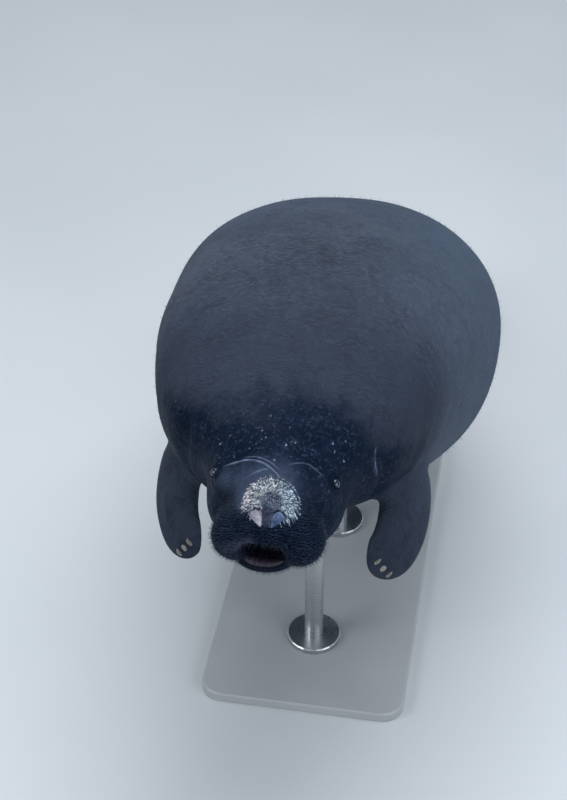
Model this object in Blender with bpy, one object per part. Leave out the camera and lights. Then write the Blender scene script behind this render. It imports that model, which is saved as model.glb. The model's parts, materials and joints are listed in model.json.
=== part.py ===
"""A life-size manatee at the surface of the water, held by a plain display stand. Metres, +Z up.

The animal is first described straight: x to its own left, t back from the tip of its snout, z up.
A spine then bends that straight body into its pose: the head level, the body hanging tail down
behind it, and the paddle levelling out again. In the world the head looks along -Y, its left side
is +X, and the origin is the centre of the underside of the stand's base.
"""
import math

import bmesh
import bpy
import numpy as np
from mathutils import Matrix, Vector

# Fit
GAP = 0.0003

# Pose
LENGTH = 3.0
SPINE_STEPS = 600
HEAD_PITCH = math.radians(-0.75)
HEAD_YAW = math.radians(-2.96)
HEAD_ROLL = math.radians(1.26)
BODY_PITCH = math.radians(27.99)
TAIL_PITCH = math.radians(28.0)
NECK_BEND = (0.28, 0.85)
TAIL_BEND = (1.90, 2.80)

# Body sections, as distance back from the snout, half width, height above the spine, depth below it
BODY_SECTIONS = (
    (0.20, 0.145, 0.104, 0.132),
    (0.34, 0.230, 0.142, 0.200),
    (0.45, 0.288, 0.174, 0.262),
    (0.60, 0.334, 0.224, 0.308),
    (0.80, 0.372, 0.286, 0.342),
    (1.05, 0.408, 0.332, 0.365),
    (1.30, 0.435, 0.350, 0.385),
    (1.55, 0.420, 0.340, 0.370),
    (1.80, 0.365, 0.300, 0.320),
    (2.05, 0.275, 0.235, 0.250),
    (2.25, 0.205, 0.165, 0.170),
    (2.40, 0.205, 0.115, 0.118),
    (2.55, 0.285, 0.078, 0.080),
    (2.70, 0.352, 0.056, 0.056),
    (2.80, 0.370, 0.045, 0.045),
)
PADDLE_END_START = 2.76
PADDLE_END_POWER = 2.4
BODY_ROUNDNESS = 2.25
PADDLE_ROUNDNESS = 1.75
PADDLE_SHAPING = (2.10, 2.50)
BODY_SIDES = 40
PADDLE_RINGS = 17

# Places of the cuts between the lengths of the body, and how many rings each length has
HEAD_CUT = 0.43
STOCK_CUT = 2.34
BODY_LENGTHS = (
    ("neck", HEAD_CUT, 0.62, 6),
    ("torso_front", 0.62, 0.98, 9),
    ("torso_middle", 0.98, 1.50, 8),
    ("torso_rear", 1.50, 1.95, 8),
    ("tail_stock", 1.95, STOCK_CUT, 9),
)

# Head, each form as its centre (x, t, z), its radii, and how softly it joins the rest
CRANIUM = ((0.0, 0.300, 0.006), (0.128, 0.200, 0.120), 0.050)
BRIDGE = ((0.0, 0.158, 0.010), (0.093, 0.130, 0.080), 0.040)
NOSE = ((0.0, 0.090, 0.016), (0.078, 0.066, 0.052), 0.030)
CHEEK = ((0.084, 0.235, -0.050), (0.066, 0.110, 0.080), 0.045)
LIP_PAD = ((0.065, 0.081, -0.027), (0.054, 0.057, 0.050), 0.022)
JAW = ((0.0, 0.142, -0.079), (0.072, 0.099, 0.046), 0.026)
EYE_MOUND = ((0.096, 0.197, 0.026), (0.033, 0.044, 0.034), 0.028)
MOUTH_LEAN = -0.006
LOWER_LIP = ((0.0, 0.062, -0.0735), (0.056, 0.034, 0.0155), 0.012)
MOUTH = ((0.0, 0.042, -0.034), (0.050, 0.066, 0.040), 0.012)
NOSTRIL_CENTRE = (0.0240, 0.0485, 0.0635)
NOSTRIL_FACING = (0.10, -0.60, 0.79)
NOSTRIL_RADIUS = 0.0128
NOSTRIL_LEAN = 0.45
NOSTRIL_GROOVE = 0.0030
NOSTRIL_DOME_RISE = 0.0035
NOSTRIL_GROOVE_DEPTH = 0.0060
CLEFT_WIDTH = 0.007
CLEFT_DEPTH = 0.004
HEAD_BLEND = (0.18, 0.40)
NECK_FOLD_STATION = 0.335
NECK_FOLD_WIDTH = 0.020
NECK_FOLD_DEPTH = 0.006
RELAX_ROUNDS = 24
HEAD_AXIS_START = 0.20
HEAD_AXIS_HEIGHT = -0.035
HEAD_SIDES = 128
HEAD_FRONT_RINGS = 84
HEAD_TUBE_RINGS = 30
HEAD_TRIANGLES = 5000
HEAD_REACH = 0.34
MUZZLE_CUT = 0.140
MUZZLE_CUT_TILT = math.radians(8.0)
JAW_CUT_HEIGHT = -0.055
JAW_CUT_TILT = math.radians(5.0)

# Eyes and the pink pad in the mouth
EYE_STATION = 0.191
EYE_HEIGHT = 0.041
EYE_DEPTH = 0.0058
EYE_FACING = (0.74, -0.30, 0.60)
EYE_RADIUS = 0.0125
LID_RADIUS = 0.0125
LID_THICKNESS = 0.0034
LID_SIDES = 18
LID_RING_SIDES = 6
MOUTH_PAD_CENTRE = (MOUTH_LEAN, 0.045, -0.0665)
MOUTH_PAD_RADII = (0.045, 0.012, 0.0090)

# Flippers, as the line of the left one from shoulder to tip, with half breadth and half thickness
FLIPPER_LINE = (
    (0.165, 0.690, -0.130, 0.092, 0.066),
    (0.232, 0.655, -0.184, 0.086, 0.058),
    (0.262, 0.612, -0.244, 0.077, 0.044),
    (0.266, 0.552, -0.316, 0.078, 0.032),
    (0.246, 0.492, -0.372, 0.078, 0.024),
    (0.206, 0.428, -0.410, 0.064, 0.016),
)
FLIPPER_TWIST = math.radians(42.0)
FLIPPER_SIDES = 20
ARM_RINGS = 10
HAND_RINGS = 11
WRIST = 0.58
FLIPPER_LENGTH = 0.48
HAND_ROUNDING = 0.80
NAIL_PLACES = (-0.46, 0.0, 0.46)
NAIL_STATION = 0.925
NAIL_RADII = (0.0105, 0.0075, 0.0030)

# Stand
BASE_LENGTH = 1.18
BASE_WIDTH = 0.56
BASE_THICKNESS = 0.030
BASE_CORNER = 0.060
BASE_EDGE = 0.004
TAIL_CLEARANCE = 0.060
ROD_RADIUS = 0.026
FOOT_RADIUS = 0.075
FOOT_THICKNESS = 0.016
FOOT_BEVEL = 0.003
ROD_SIDES = 24
SADDLE_RADIUS = 0.095
SADDLE_DEPTH = 0.030
SADDLE_RISE = 0.050
SADDLE_BEVEL = 0.006
FRONT_ROD_STATION = 1.18
REAR_ROD_STATION = 1.70

# Colours
SKIN = (0.085, 0.098, 0.125)
SKIN_DARK = (0.045, 0.055, 0.075)
PINK = (0.230, 0.120, 0.125)
EYE_BLACK = (0.010, 0.010, 0.012)
NAIL = (0.260, 0.240, 0.210)
STAND_GREY = (0.090, 0.092, 0.095)
STEEL = (0.450, 0.460, 0.470)


def smooth_step(start, end, value):
    """Rise from 0 at start to 1 at end."""
    u = np.clip((value - start) / (end - start), 0.0, 1.0)
    return u * u * (3.0 - 2.0 * u)


def natural_spline(places, values):
    """Return the natural cubic spline through the given values."""
    x = np.asarray(places, float)
    y = np.asarray(values, float)
    step = np.diff(x)
    count = len(x)
    matrix = np.eye(count)
    right = np.zeros(count)
    for i in range(1, count - 1):
        matrix[i, i - 1:i + 2] = step[i - 1], 2.0 * (step[i - 1] + step[i]), step[i]
        right[i] = 6.0 * ((y[i + 1] - y[i]) / step[i] - (y[i] - y[i - 1]) / step[i - 1])
    bending = np.linalg.solve(matrix, right)

    def value(place):
        place = np.asarray(place, float)
        i = np.clip(np.searchsorted(x, place) - 1, 0, count - 2)
        h = step[i]
        a = x[i + 1] - place
        b = place - x[i]
        curve = (bending[i] * a ** 3 + bending[i + 1] * b ** 3) / (6.0 * h)
        line = (y[i] / h - bending[i] * h / 6.0) * a + (y[i + 1] / h - bending[i + 1] * h / 6.0) * b
        return curve + line

    return value


# Spine
def make_spine():
    """Return the spine's stations, points, side, up and tailward directions, snout at zero."""
    t = np.linspace(0.0, LENGTH, SPINE_STEPS + 1)
    neck = smooth_step(*NECK_BEND, t)
    tail = smooth_step(*TAIL_BEND, t)
    pitch = (HEAD_PITCH * (1 - neck) + BODY_PITCH * neck) * (1 - tail) + TAIL_PITCH * tail
    yaw = HEAD_YAW * (1 - neck)
    roll = HEAD_ROLL * (1 - neck)
    along = np.stack([np.sin(yaw) * np.cos(pitch), np.cos(yaw) * np.cos(pitch), -np.sin(pitch)], 1)
    middle = (along[1:] + along[:-1]) / 2.0 * (LENGTH / SPINE_STEPS)
    points = np.concatenate([np.zeros((1, 3)), np.cumsum(middle, 0)])
    level = np.stack([np.cos(yaw), -np.sin(yaw), np.zeros_like(yaw)], 1)
    raised = np.cross(level, along)
    cos_roll = np.cos(roll)[:, None]
    sin_roll = np.sin(roll)[:, None]
    side = level * cos_roll - raised * sin_roll
    up = raised * cos_roll + level * sin_roll
    return t, points, side, up, along


SPINE = make_spine()


def along_spine(field, t):
    """Read one of the spine's vector fields at the stations t."""
    return np.stack([np.interp(t, SPINE[0], field[:, k]) for k in range(3)], -1)


def bend(points):
    """Carry straight points (x, t, z) to the posed body, with the snout's tip at zero."""
    points = np.asarray(points, float)
    x, t, z = points[..., 0], points[..., 1], points[..., 2]
    centre = along_spine(SPINE[1], t) + np.minimum(t, 0.0)[..., None] * SPINE[4][0]
    return centre + x[..., None] * along_spine(SPINE[2], t) + z[..., None] * along_spine(SPINE[3], t)


# Outline of the body
HALF_WIDTH = natural_spline([s[0] for s in BODY_SECTIONS], [s[1] for s in BODY_SECTIONS])
HEIGHT = natural_spline([s[0] for s in BODY_SECTIONS], [s[2] for s in BODY_SECTIONS])
DEPTH = natural_spline([s[0] for s in BODY_SECTIONS], [s[3] for s in BODY_SECTIONS])


def section_sizes(t):
    """Half width, height, depth and roundness of the body's section at t."""
    held = np.minimum(t, PADDLE_END_START)
    u = np.clip((t - PADDLE_END_START) / (LENGTH - PADDLE_END_START), 0.0, 1.0)
    end = np.sqrt(np.clip(1.0 - u ** PADDLE_END_POWER, 0.0, 1.0))
    thin = 0.35 + 0.65 * end
    thin = np.where(u >= 1.0, 0.0, thin) * np.clip(end * 6.0, 0.0, 1.0)
    shaping = smooth_step(*PADDLE_SHAPING, t)
    roundness = BODY_ROUNDNESS * (1 - shaping) + PADDLE_ROUNDNESS * shaping
    return HALF_WIDTH(held) * end, HEIGHT(held) * thin, DEPTH(held) * thin, roundness


def body_ring(t, sides=BODY_SIDES, grow=0.0):
    """One straight section of the body, as points (x, t, z)."""
    width, height, depth, roundness = section_sizes(t)
    angle = np.arange(sides) * (2.0 * math.pi / sides)
    c, s = np.cos(angle), np.sin(angle)
    power = 2.0 / roundness
    x = (width + grow) * np.sign(c) * np.abs(c) ** power
    tall = np.where(s > 0, height + grow, depth + grow)
    z = tall * np.sign(s) * np.abs(s) ** power
    return np.stack([x, np.full(sides, float(t)), z], 1)


def balance_station():
    """The world Y, behind the snout, of the body's centre of volume."""
    t = np.linspace(0.05, LENGTH, 200)
    width, height, depth, _ = section_sizes(np.maximum(t, BODY_SECTIONS[0][0]))
    area = width * (height + depth)
    return float(np.sum(area * along_spine(SPINE[1], t)[:, 1]) / np.sum(area))


def lowest_of_tail():
    """The lowest world height that the tail and belly reach, below the snout."""
    stations = np.linspace(HEAD_CUT, LENGTH - 0.01, 240)
    return float(min(bend(body_ring(t))[:, 2].min() for t in stations))


ORIGIN_SHIFT = np.array([-SPINE[1][-1, 0], -balance_station(), TAIL_CLEARANCE - lowest_of_tail()])


def world(points):
    """Carry straight points to their place in the world."""
    return bend(points) + ORIGIN_SHIFT


def world_frame(t):
    """The plane of the body's section at t, as a world point and the tailward direction."""
    point = world(np.array([[0.0, t, 0.0]]))[0]
    return Vector(point), Vector(along_spine(SPINE[4], np.array([t]))[0]).normalized()


# Mesh helpers
def clear_scene():
    """Start from an empty file."""
    for item in list(bpy.data.objects):
        bpy.data.objects.remove(item, do_unlink=True)


def new_object(name, points, faces):
    """Make a mesh object with its normals facing out."""
    mesh = bpy.data.meshes.new(name)
    mesh.from_pydata([tuple(p) for p in points], [], faces)
    work = bmesh.new()
    work.from_mesh(mesh)
    bmesh.ops.recalc_face_normals(work, faces=work.faces)
    work.to_mesh(mesh)
    work.free()
    item = bpy.data.objects.new(name, mesh)
    bpy.context.scene.collection.objects.link(item)
    return item


def loft(name, rings, start_point=None, end_point=None):
    """Skin a list of equal rings, each end flat or drawn to a point."""
    sides = len(rings[0])
    points = [p for ring in rings for p in ring]
    faces = []
    for r in range(len(rings) - 1):
        for k in range(sides):
            n = (k + 1) % sides
            faces.append((r * sides + k, r * sides + n, (r + 1) * sides + n, (r + 1) * sides + k))
    last = (len(rings) - 1) * sides
    if start_point is None:
        faces.append(tuple(range(sides - 1, -1, -1)))
    else:
        points.append(start_point)
        tip = len(points) - 1
        faces.extend((tip, (k + 1) % sides, k) for k in range(sides))
    if end_point is None:
        faces.append(tuple(range(last, last + sides)))
    else:
        points.append(end_point)
        tip = len(points) - 1
        faces.extend((tip, last + k, last + (k + 1) % sides) for k in range(sides))
    return new_object(name, points, faces)


def apply_modifiers(item):
    """Replace the mesh by what its modifiers give."""
    graph = bpy.context.evaluated_depsgraph_get()
    mesh = bpy.data.meshes.new_from_object(item.evaluated_get(graph))
    item.modifiers.clear()
    item.data = mesh
    keep_largest(item)


def boolean(item, tool, operation):
    """Cut or join one closed mesh with another, then drop the tool."""
    cut = item.modifiers.new("cut", "BOOLEAN")
    cut.operation = operation
    cut.solver = "EXACT"
    cut.object = tool
    bpy.context.view_layer.update()
    apply_modifiers(item)
    bpy.data.objects.remove(tool, do_unlink=True)


def keep_largest(item):
    """Keep the largest connected surface of a mesh."""
    work = bmesh.new()
    work.from_mesh(item.data)
    bmesh.ops.remove_doubles(work, verts=work.verts, dist=1e-6)
    left = set(work.faces)
    groups = []
    while left:
        stack = [left.pop()]
        group = []
        while stack:
            face = stack.pop()
            group.append(face)
            for edge in face.edges:
                for near in edge.link_faces:
                    if near in left:
                        left.discard(near)
                        stack.append(near)
        groups.append(group)
    if len(groups) > 1:
        groups.sort(key=lambda g: sum(f.calc_area() for f in g))
        small = [f for g in groups[:-1] for f in g]
        bmesh.ops.delete(work, geom=small, context="FACES")
        loose = [v for v in work.verts if not v.link_faces]
        bmesh.ops.delete(work, geom=loose, context="VERTS")
    work.to_mesh(item.data)
    work.free()


def copy_of(item, name):
    """A second object with its own copy of the mesh."""
    twin = item.copy()
    twin.data = item.data.copy()
    twin.name = name
    bpy.context.scene.collection.objects.link(twin)
    return twin


def slice_off(item, point, direction):
    """Cut a closed mesh at a plane, keep what lies behind the direction, and close the cut."""
    work = bmesh.new()
    work.from_mesh(item.data)
    geometry = list(work.verts) + list(work.edges) + list(work.faces)
    cut = bmesh.ops.bisect_plane(
        work, geom=geometry, dist=1e-7, plane_co=point, plane_no=direction, clear_outer=True)
    edges = [e for e in cut["geom_cut"] if isinstance(e, bmesh.types.BMEdge)]
    bmesh.ops.holes_fill(work, edges=edges, sides=0)
    bmesh.ops.recalc_face_normals(work, faces=work.faces)
    work.to_mesh(item.data)
    work.free()
    keep_largest(item)


def finish(item, colour, roughness, metallic=0.0):
    """Give a node its own plain finish and smooth shading."""
    material = bpy.data.materials.new(item.name)
    material.use_nodes = True
    shader = material.node_tree.nodes["Principled BSDF"]
    shader.inputs["Base Color"].default_value = (*colour, 1.0)
    shader.inputs["Roughness"].default_value = roughness
    shader.inputs["Metallic"].default_value = metallic
    item.data.materials.clear()
    item.data.materials.append(material)
    item.data.shade_smooth()
    item.data.set_sharp_from_angle(angle=math.radians(40))


# Head
def ball(points, centre, radii):
    """Signed distance, near enough, to an ellipsoid."""
    radii = np.asarray(radii)
    q = (points - np.asarray(centre)) / radii
    near = np.linalg.norm(q, axis=-1)
    slope = np.linalg.norm(q / radii, axis=-1)
    return near * (near - 1.0) / np.maximum(slope, 1e-9)


def soft_join(first, second, softness):
    """Smooth union of two distances."""
    h = np.clip(0.5 + 0.5 * (second - first) / softness, 0.0, 1.0)
    return second * (1 - h) + first * h - softness * h * (1 - h)


def soft_cut(first, second, softness):
    """Smooth difference: the first less the second."""
    return -soft_join(-first, second, softness)


def body_distance(points):
    """Distance, near enough, to the body's straight outline behind the head."""
    t = points[..., 1]
    width, height, depth, roundness = section_sizes(np.maximum(t, BODY_SECTIONS[0][0]))
    tall = np.where(points[..., 2] > 0, height, depth)
    x = np.abs(points[..., 0]) / width
    z = np.abs(points[..., 2]) / tall
    flat = (x ** roundness + z ** roundness) ** (1.0 / roundness) - 1.0
    return flat * np.minimum(width, (height + depth) / 2.0)


def nostril_shape(points):
    """Height to add for a closed nostril: a dome within a crescent groove."""
    facing = np.asarray(NOSTRIL_FACING)
    offset = points - np.asarray(NOSTRIL_CENTRE)
    lifted = offset @ facing
    flat = offset - lifted[..., None] * facing
    back = np.array([0.0, 1.0, 0.0]) - facing[1] * facing
    back /= np.linalg.norm(back)
    upward = flat @ back
    front = np.minimum(upward, 0.0)
    beside = flat @ np.cross(back, facing) - NOSTRIL_LEAN * front
    narrow = 1.0 - 0.62 * np.clip(-front / (1.9 * NOSTRIL_RADIUS), 0.0, 1.0)
    away = np.hypot(beside / narrow, upward - 0.45 * front)
    near = smooth_step(3.0 * NOSTRIL_RADIUS, 2.0 * NOSTRIL_RADIUS, np.abs(lifted))
    dome = NOSTRIL_DOME_RISE * np.exp(-(away / (0.70 * NOSTRIL_RADIUS)) ** 4)
    groove = np.exp(-((away - NOSTRIL_RADIUS) / NOSTRIL_GROOVE) ** 2)
    behind = smooth_step(-0.9 * NOSTRIL_RADIUS, 0.6 * NOSTRIL_RADIUS, flat[..., 1])
    return near * (dome - NOSTRIL_GROOVE_DEPTH * groove * behind)


def neck_fold(points):
    """Depth of the crease that runs round each side of the head behind the cheek."""
    behind = points[..., 1] - NECK_FOLD_STATION - 0.35 * np.hypot(points[..., 2], 0.03)
    sides = smooth_step(0.05, 0.17, points[..., 0])
    return NECK_FOLD_DEPTH * sides * np.exp(-(behind / NECK_FOLD_WIDTH) ** 2)


def head_distance(points):
    """Distance, near enough, to the surface of the straight head."""
    mirrored = np.array(points)
    mirrored[..., 0] = np.abs(mirrored[..., 0])
    shape = ball(mirrored, *CRANIUM[:2])
    for centre, radii, softness in (BRIDGE, NOSE, CHEEK, LIP_PAD, JAW, EYE_MOUND):
        shape = soft_join(shape, ball(mirrored, centre, radii), softness)
    leaning = points - np.array([MOUTH_LEAN, 0.0, 0.0])
    shape = soft_cut(shape, ball(leaning, *MOUTH[:2]), MOUTH[2])
    shape = soft_join(shape, ball(leaning, *LOWER_LIP[:2]), LOWER_LIP[2])
    cleft = np.exp(-(mirrored[..., 0] / CLEFT_WIDTH) ** 2)
    low_front = smooth_step(0.050, 0.030, mirrored[..., 2]) * smooth_step(0.10, 0.06, mirrored[..., 1])
    above_lip = smooth_step(0.002, 0.018, mirrored[..., 2])
    shape = shape + CLEFT_DEPTH * cleft * low_front * above_lip
    shape = shape - nostril_shape(mirrored)
    blend = smooth_step(*HEAD_BLEND, mirrored[..., 1])
    return shape * (1 - blend) + body_distance(mirrored) * blend + neck_fold(mirrored)


def outermost(origins, directions, reach):
    """Furthest point along each ray that is still on the head's surface."""
    steps = np.linspace(0.0, reach, 90)
    found = np.zeros(origins.shape[:-1])
    for k, distance in enumerate(steps):
        inside = head_distance(origins + directions * distance) < 0.0
        found = np.where(inside, k, found)
    near = steps[found.astype(int)]
    far = steps[np.minimum(found.astype(int) + 1, len(steps) - 1)]
    for _ in range(18):
        middle = (near + far) / 2.0
        inside = head_distance(origins + directions * middle[..., None]) < 0.0
        near = np.where(inside, middle, near)
        far = np.where(inside, far, middle)
    return origins + directions * ((near + far) / 2.0)[..., None]


def head_rays(t):
    """Start and directions of the rays that find the head's outline at t."""
    start = np.array([0.0, t, HEAD_AXIS_HEIGHT])
    directions = body_ring(t, HEAD_SIDES) - start
    return start, directions / np.linalg.norm(directions, axis=1, keepdims=True)


def head_rings():
    """Straight rings of the head from the snout back, and the middle of its front."""
    centre, across = head_rays(HEAD_AXIS_START)
    forward = np.array([0.0, -1.0, 0.0])
    rise = np.linspace(0.5 * math.pi, 0.0, HEAD_FRONT_RINGS + 2)[1:-1]
    origins = [np.broadcast_to(centre, across.shape)] * HEAD_FRONT_RINGS
    directions = [math.cos(a) * across + math.sin(a) * forward for a in rise]
    for t in np.linspace(HEAD_AXIS_START, HEAD_CUT + 0.02, HEAD_TUBE_RINGS):
        start, out = head_rays(t)
        origins.append(np.broadcast_to(start, out.shape))
        directions.append(out)
    rings = outermost(np.array(origins), np.array(directions), HEAD_REACH)
    tip = outermost(centre[None, :], forward[None, :], HEAD_REACH)
    return relax(rings, tip)


def settle(points):
    """Move points onto the head's surface along its slope."""
    small = 1e-4
    for _ in range(2):
        here = head_distance(points)
        slope = np.stack([head_distance(points + small * axis) - here for axis in np.eye(3)], -1) / small
        size = np.maximum(np.sum(slope * slope, -1), 0.2)
        points = points - np.clip(here / size, -0.01, 0.01)[..., None] * slope
    return points


def relax(rings, tip):
    """Spread the rings evenly over the surface, into the mouth too, and keep the rear as it is."""
    free = smooth_step(0.34, 0.28, rings[..., 1])[..., None] * 0.5
    for _ in range(RELAX_ROUNDS):
        ahead = np.concatenate([np.broadcast_to(tip, rings[:1].shape), rings[:-1]])
        behind = np.concatenate([rings[1:], rings[-1:]])
        beside = np.roll(rings, 1, 1) + np.roll(rings, -1, 1)
        rings = rings + free * ((ahead + behind + beside) / 4.0 - rings)
        rings = settle(rings)
        tip = settle(rings[0].mean(0)[None, :])
    return rings, tip


def head_plane(station, height, tilt):
    """A plane across the head, as a world point and a tailward normal tilted up by the angle."""
    point = world(np.array([[0.0, station, height]]))[0]
    back = SPINE[4][0]
    up = SPINE[3][0]
    normal = back * math.cos(tilt) + up * math.sin(tilt)
    return Vector(point), Vector(normal).normalized()


def head_matrix(centre):
    """Turn and place a small form on the head, its own axes along x, t and z."""
    point = world(np.array([centre]))[0]
    turn = Matrix((SPINE[2][0], SPINE[4][0], SPINE[3][0])).transposed()
    return Matrix.Translation(Vector(point)) @ turn.to_4x4()


def ball_object(name, placement, radii, rings=8, sides=14):
    """An ellipsoid, with its own axes set by the placement."""
    work = bmesh.new()
    bmesh.ops.create_uvsphere(work, u_segments=sides, v_segments=rings, radius=1.0)
    scale = Matrix.Diagonal((*radii, 1.0))
    bmesh.ops.transform(work, matrix=placement @ scale, verts=work.verts)
    mesh = bpy.data.meshes.new(name)
    work.to_mesh(mesh)
    work.free()
    item = bpy.data.objects.new(name, mesh)
    bpy.context.scene.collection.objects.link(item)
    return item


def grown(radii):
    """Radii larger by the gap that two touching forms keep."""
    return tuple(r + GAP for r in radii)


def lid_ring(side):
    """The thick round lid, as a ring of skin about the eye that faces out and a little forward."""
    facing = Vector((EYE_FACING[0] * side, EYE_FACING[1], EYE_FACING[2])).normalized()
    turn = facing.to_track_quat("Z", "Y").to_matrix().to_4x4()
    place = eye_placement(side) @ turn @ Matrix.Translation((0.0, 0.0, EYE_DEPTH))
    rings = []
    around = LID_SIDES
    thick = LID_RING_SIDES
    for k in range(around):
        a = 2.0 * math.pi * k / around
        stretch = 1.0 + 0.12 * math.cos(2.0 * a)
        middle = Vector((math.cos(a), math.sin(a), 0.0)) * LID_RADIUS * stretch
        ring = []
        for j in range(thick):
            b = 2.0 * math.pi * j / thick
            out = Vector((math.cos(a), math.sin(a), 0.0)) * math.cos(b) * LID_THICKNESS
            rise = Vector((0.0, 0.0, math.sin(b) * LID_THICKNESS))
            ring.append(place @ (middle + out + rise))
        rings.append(ring)
    points = [p for ring in rings for p in ring]
    faces = []
    for k in range(around):
        for j in range(thick):
            n = (k + 1) % around
            m = (j + 1) % thick
            faces.append((k * thick + j, n * thick + j, n * thick + m, k * thick + m))
    return new_object("lid", points, faces)


def eye_placement(side):
    """The eyeball's own frame, its centre a little below the skin."""
    start = np.array([[0.0, EYE_STATION, EYE_HEIGHT]])
    skin = outermost(start, np.array([[1.0, 0.0, 0.0]]), HEAD_REACH)[0]
    facing = np.asarray(EYE_FACING) / np.linalg.norm(EYE_FACING)
    return head_matrix((skin - EYE_DEPTH * facing) * (side, 1.0, 1.0))


def make_head():
    """Head, muzzle, lower jaw, eyes and the pad in the mouth."""
    rings, tip = head_rings()
    whole = loft("head", [world(r) for r in rings], start_point=tuple(world(tip)[0]))
    count = sum(len(f.vertices) - 2 for f in whole.data.polygons)
    thin = whole.modifiers.new("thin", "DECIMATE")
    thin.ratio = HEAD_TRIANGLES / count
    bpy.context.view_layer.update()
    apply_modifiers(whole)
    point, back = world_frame(HEAD_CUT)
    slice_off(whole, point - back * GAP / 2, back)
    for side in (1, -1):
        boolean(whole, lid_ring(side), "UNION")
        name = "eye_left" if side > 0 else "eye_right"
        socket = ball_object("socket", eye_placement(side), grown((EYE_RADIUS,) * 3))
        boolean(whole, socket, "DIFFERENCE")
        eye = ball_object(name, eye_placement(side), (EYE_RADIUS,) * 3)
        finish(eye, EYE_BLACK, 0.12)
    seat = head_matrix(MOUTH_PAD_CENTRE)
    boolean(whole, ball_object("seat", seat, grown(MOUTH_PAD_RADII), 8, 20), "DIFFERENCE")
    pad = ball_object("mouth_pad", seat, MOUTH_PAD_RADII, 8, 20)
    finish(pad, PINK, 0.45)

    point, back = head_plane(MUZZLE_CUT, 0.0, MUZZLE_CUT_TILT)
    jaw_point, down = head_plane(0.0, JAW_CUT_HEIGHT, JAW_CUT_TILT - math.pi / 2)
    muzzle = copy_of(whole, "muzzle")
    slice_off(muzzle, point - back * GAP / 2, back)
    jaw = copy_of(muzzle, "lower_jaw")
    slice_off(muzzle, jaw_point - down * GAP / 2, down)
    slice_off(jaw, jaw_point + down * GAP / 2, -down)
    slice_off(whole, point + back * GAP / 2, -back)
    for item in (whole, muzzle, jaw):
        finish(item, SKIN_DARK, 0.5)


# Body
def length_stations(start, end, rings):
    """Places of the rings of one length of the body, half a gap in from both its cuts."""
    return np.linspace(start + GAP / 2, end - GAP / 2, rings)


def body_shell():
    """The body from neck to tail in one closed surface, larger by a gap, to cut what touches it."""
    stations = np.concatenate([length_stations(*row[1:]) for row in BODY_LENGTHS])
    return loft("shell", [world(body_ring(t, grow=GAP)) for t in stations])


def make_body():
    """Neck, three lengths of torso, the root of the tail and the paddle."""
    for name, *span in BODY_LENGTHS:
        rings = [world(body_ring(t)) for t in length_stations(*span)]
        finish(loft(name, rings), SKIN, 0.6)
    u = np.linspace(0.0, 1.0, PADDLE_RINGS)
    first = STOCK_CUT + GAP / 2
    stations = first + (LENGTH - first) * np.sin(u * math.pi / 2) ** 0.9
    rings = [world(body_ring(t)) for t in stations[:-1]]
    tip = world(np.array([[0.0, LENGTH, 0.0]]))[0]
    finish(loft("tail_paddle", rings, end_point=tuple(tip)), SKIN, 0.6)


# Flippers
def flipper_curves(side):
    """Splines of a flipper's placed line and of its sizes, over its length from 0 to 1."""
    line = np.array(FLIPPER_LINE)
    placed = world(line[:, :3] * (side, 1.0, 1.0))
    steps = np.linalg.norm(np.diff(placed, axis=0), axis=1)
    places = np.concatenate([[0.0], np.cumsum(steps)]) / np.sum(steps)
    values = np.concatenate([placed, line[:, 3:]], 1)
    return [natural_spline(places, values[:, k]) for k in range(5)]


FLIPPERS = {1: flipper_curves(1), -1: flipper_curves(-1)}


def flipper_frame(s, side):
    """Centre, directions of the breadth and of the outer face, and the half sizes at s."""
    curves = FLIPPERS[side]
    here = np.array([curves[k](s) for k in range(3)])
    ahead = np.array([curves[k](s + 1e-3) for k in range(3)])
    run = (ahead - here) / np.linalg.norm(ahead - here)
    out = np.array([side, 0.0, 0.0])
    out = out - run * out.dot(run)
    out /= np.linalg.norm(out)
    broad = np.cross(run, out) * side
    cos_turn = math.cos(FLIPPER_TWIST)
    sin_turn = math.sin(FLIPPER_TWIST)
    outer = out * cos_turn + broad * sin_turn
    breadthwise = broad * cos_turn - out * sin_turn
    u = max(0.0, (s - HAND_ROUNDING) / (1.0 - HAND_ROUNDING))
    end = math.sqrt(max(0.0, 1.0 - u ** 2.2))
    breadth = float(curves[3](s)) * end
    thickness = float(curves[4](s)) * (0.45 + 0.55 * end) * min(1.0, end * 5.0)
    return here, breadthwise, outer, breadth, thickness


def flipper_ring(s, side):
    """One flat section of a flipper."""
    centre, broad, out, breadth, thickness = flipper_frame(s, side)
    angle = np.arange(FLIPPER_SIDES) * (2.0 * math.pi / FLIPPER_SIDES)
    return centre + np.outer(np.cos(angle) * breadth, broad) + np.outer(np.sin(angle) * thickness, out)


def nail_placement(side, place):
    """The frame of a nail on the outer face of a flipper's tip, its own z facing out."""
    centre, broad, out, breadth, thickness = flipper_frame(NAIL_STATION, side)
    lift = thickness * math.sqrt(1.0 - place * place)
    spot = Vector(centre + broad * breadth * place + out * lift)
    facing = Vector(out * thickness * lift + broad * (breadth * place) * thickness / breadth)
    z_axis = facing.normalized()
    y_axis = Vector(broad)
    x_axis = y_axis.cross(z_axis).normalized()
    y_axis = z_axis.cross(x_axis)
    turn = Matrix((x_axis, y_axis, z_axis)).transposed().to_4x4()
    return Matrix.Translation(spot) @ turn


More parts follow.
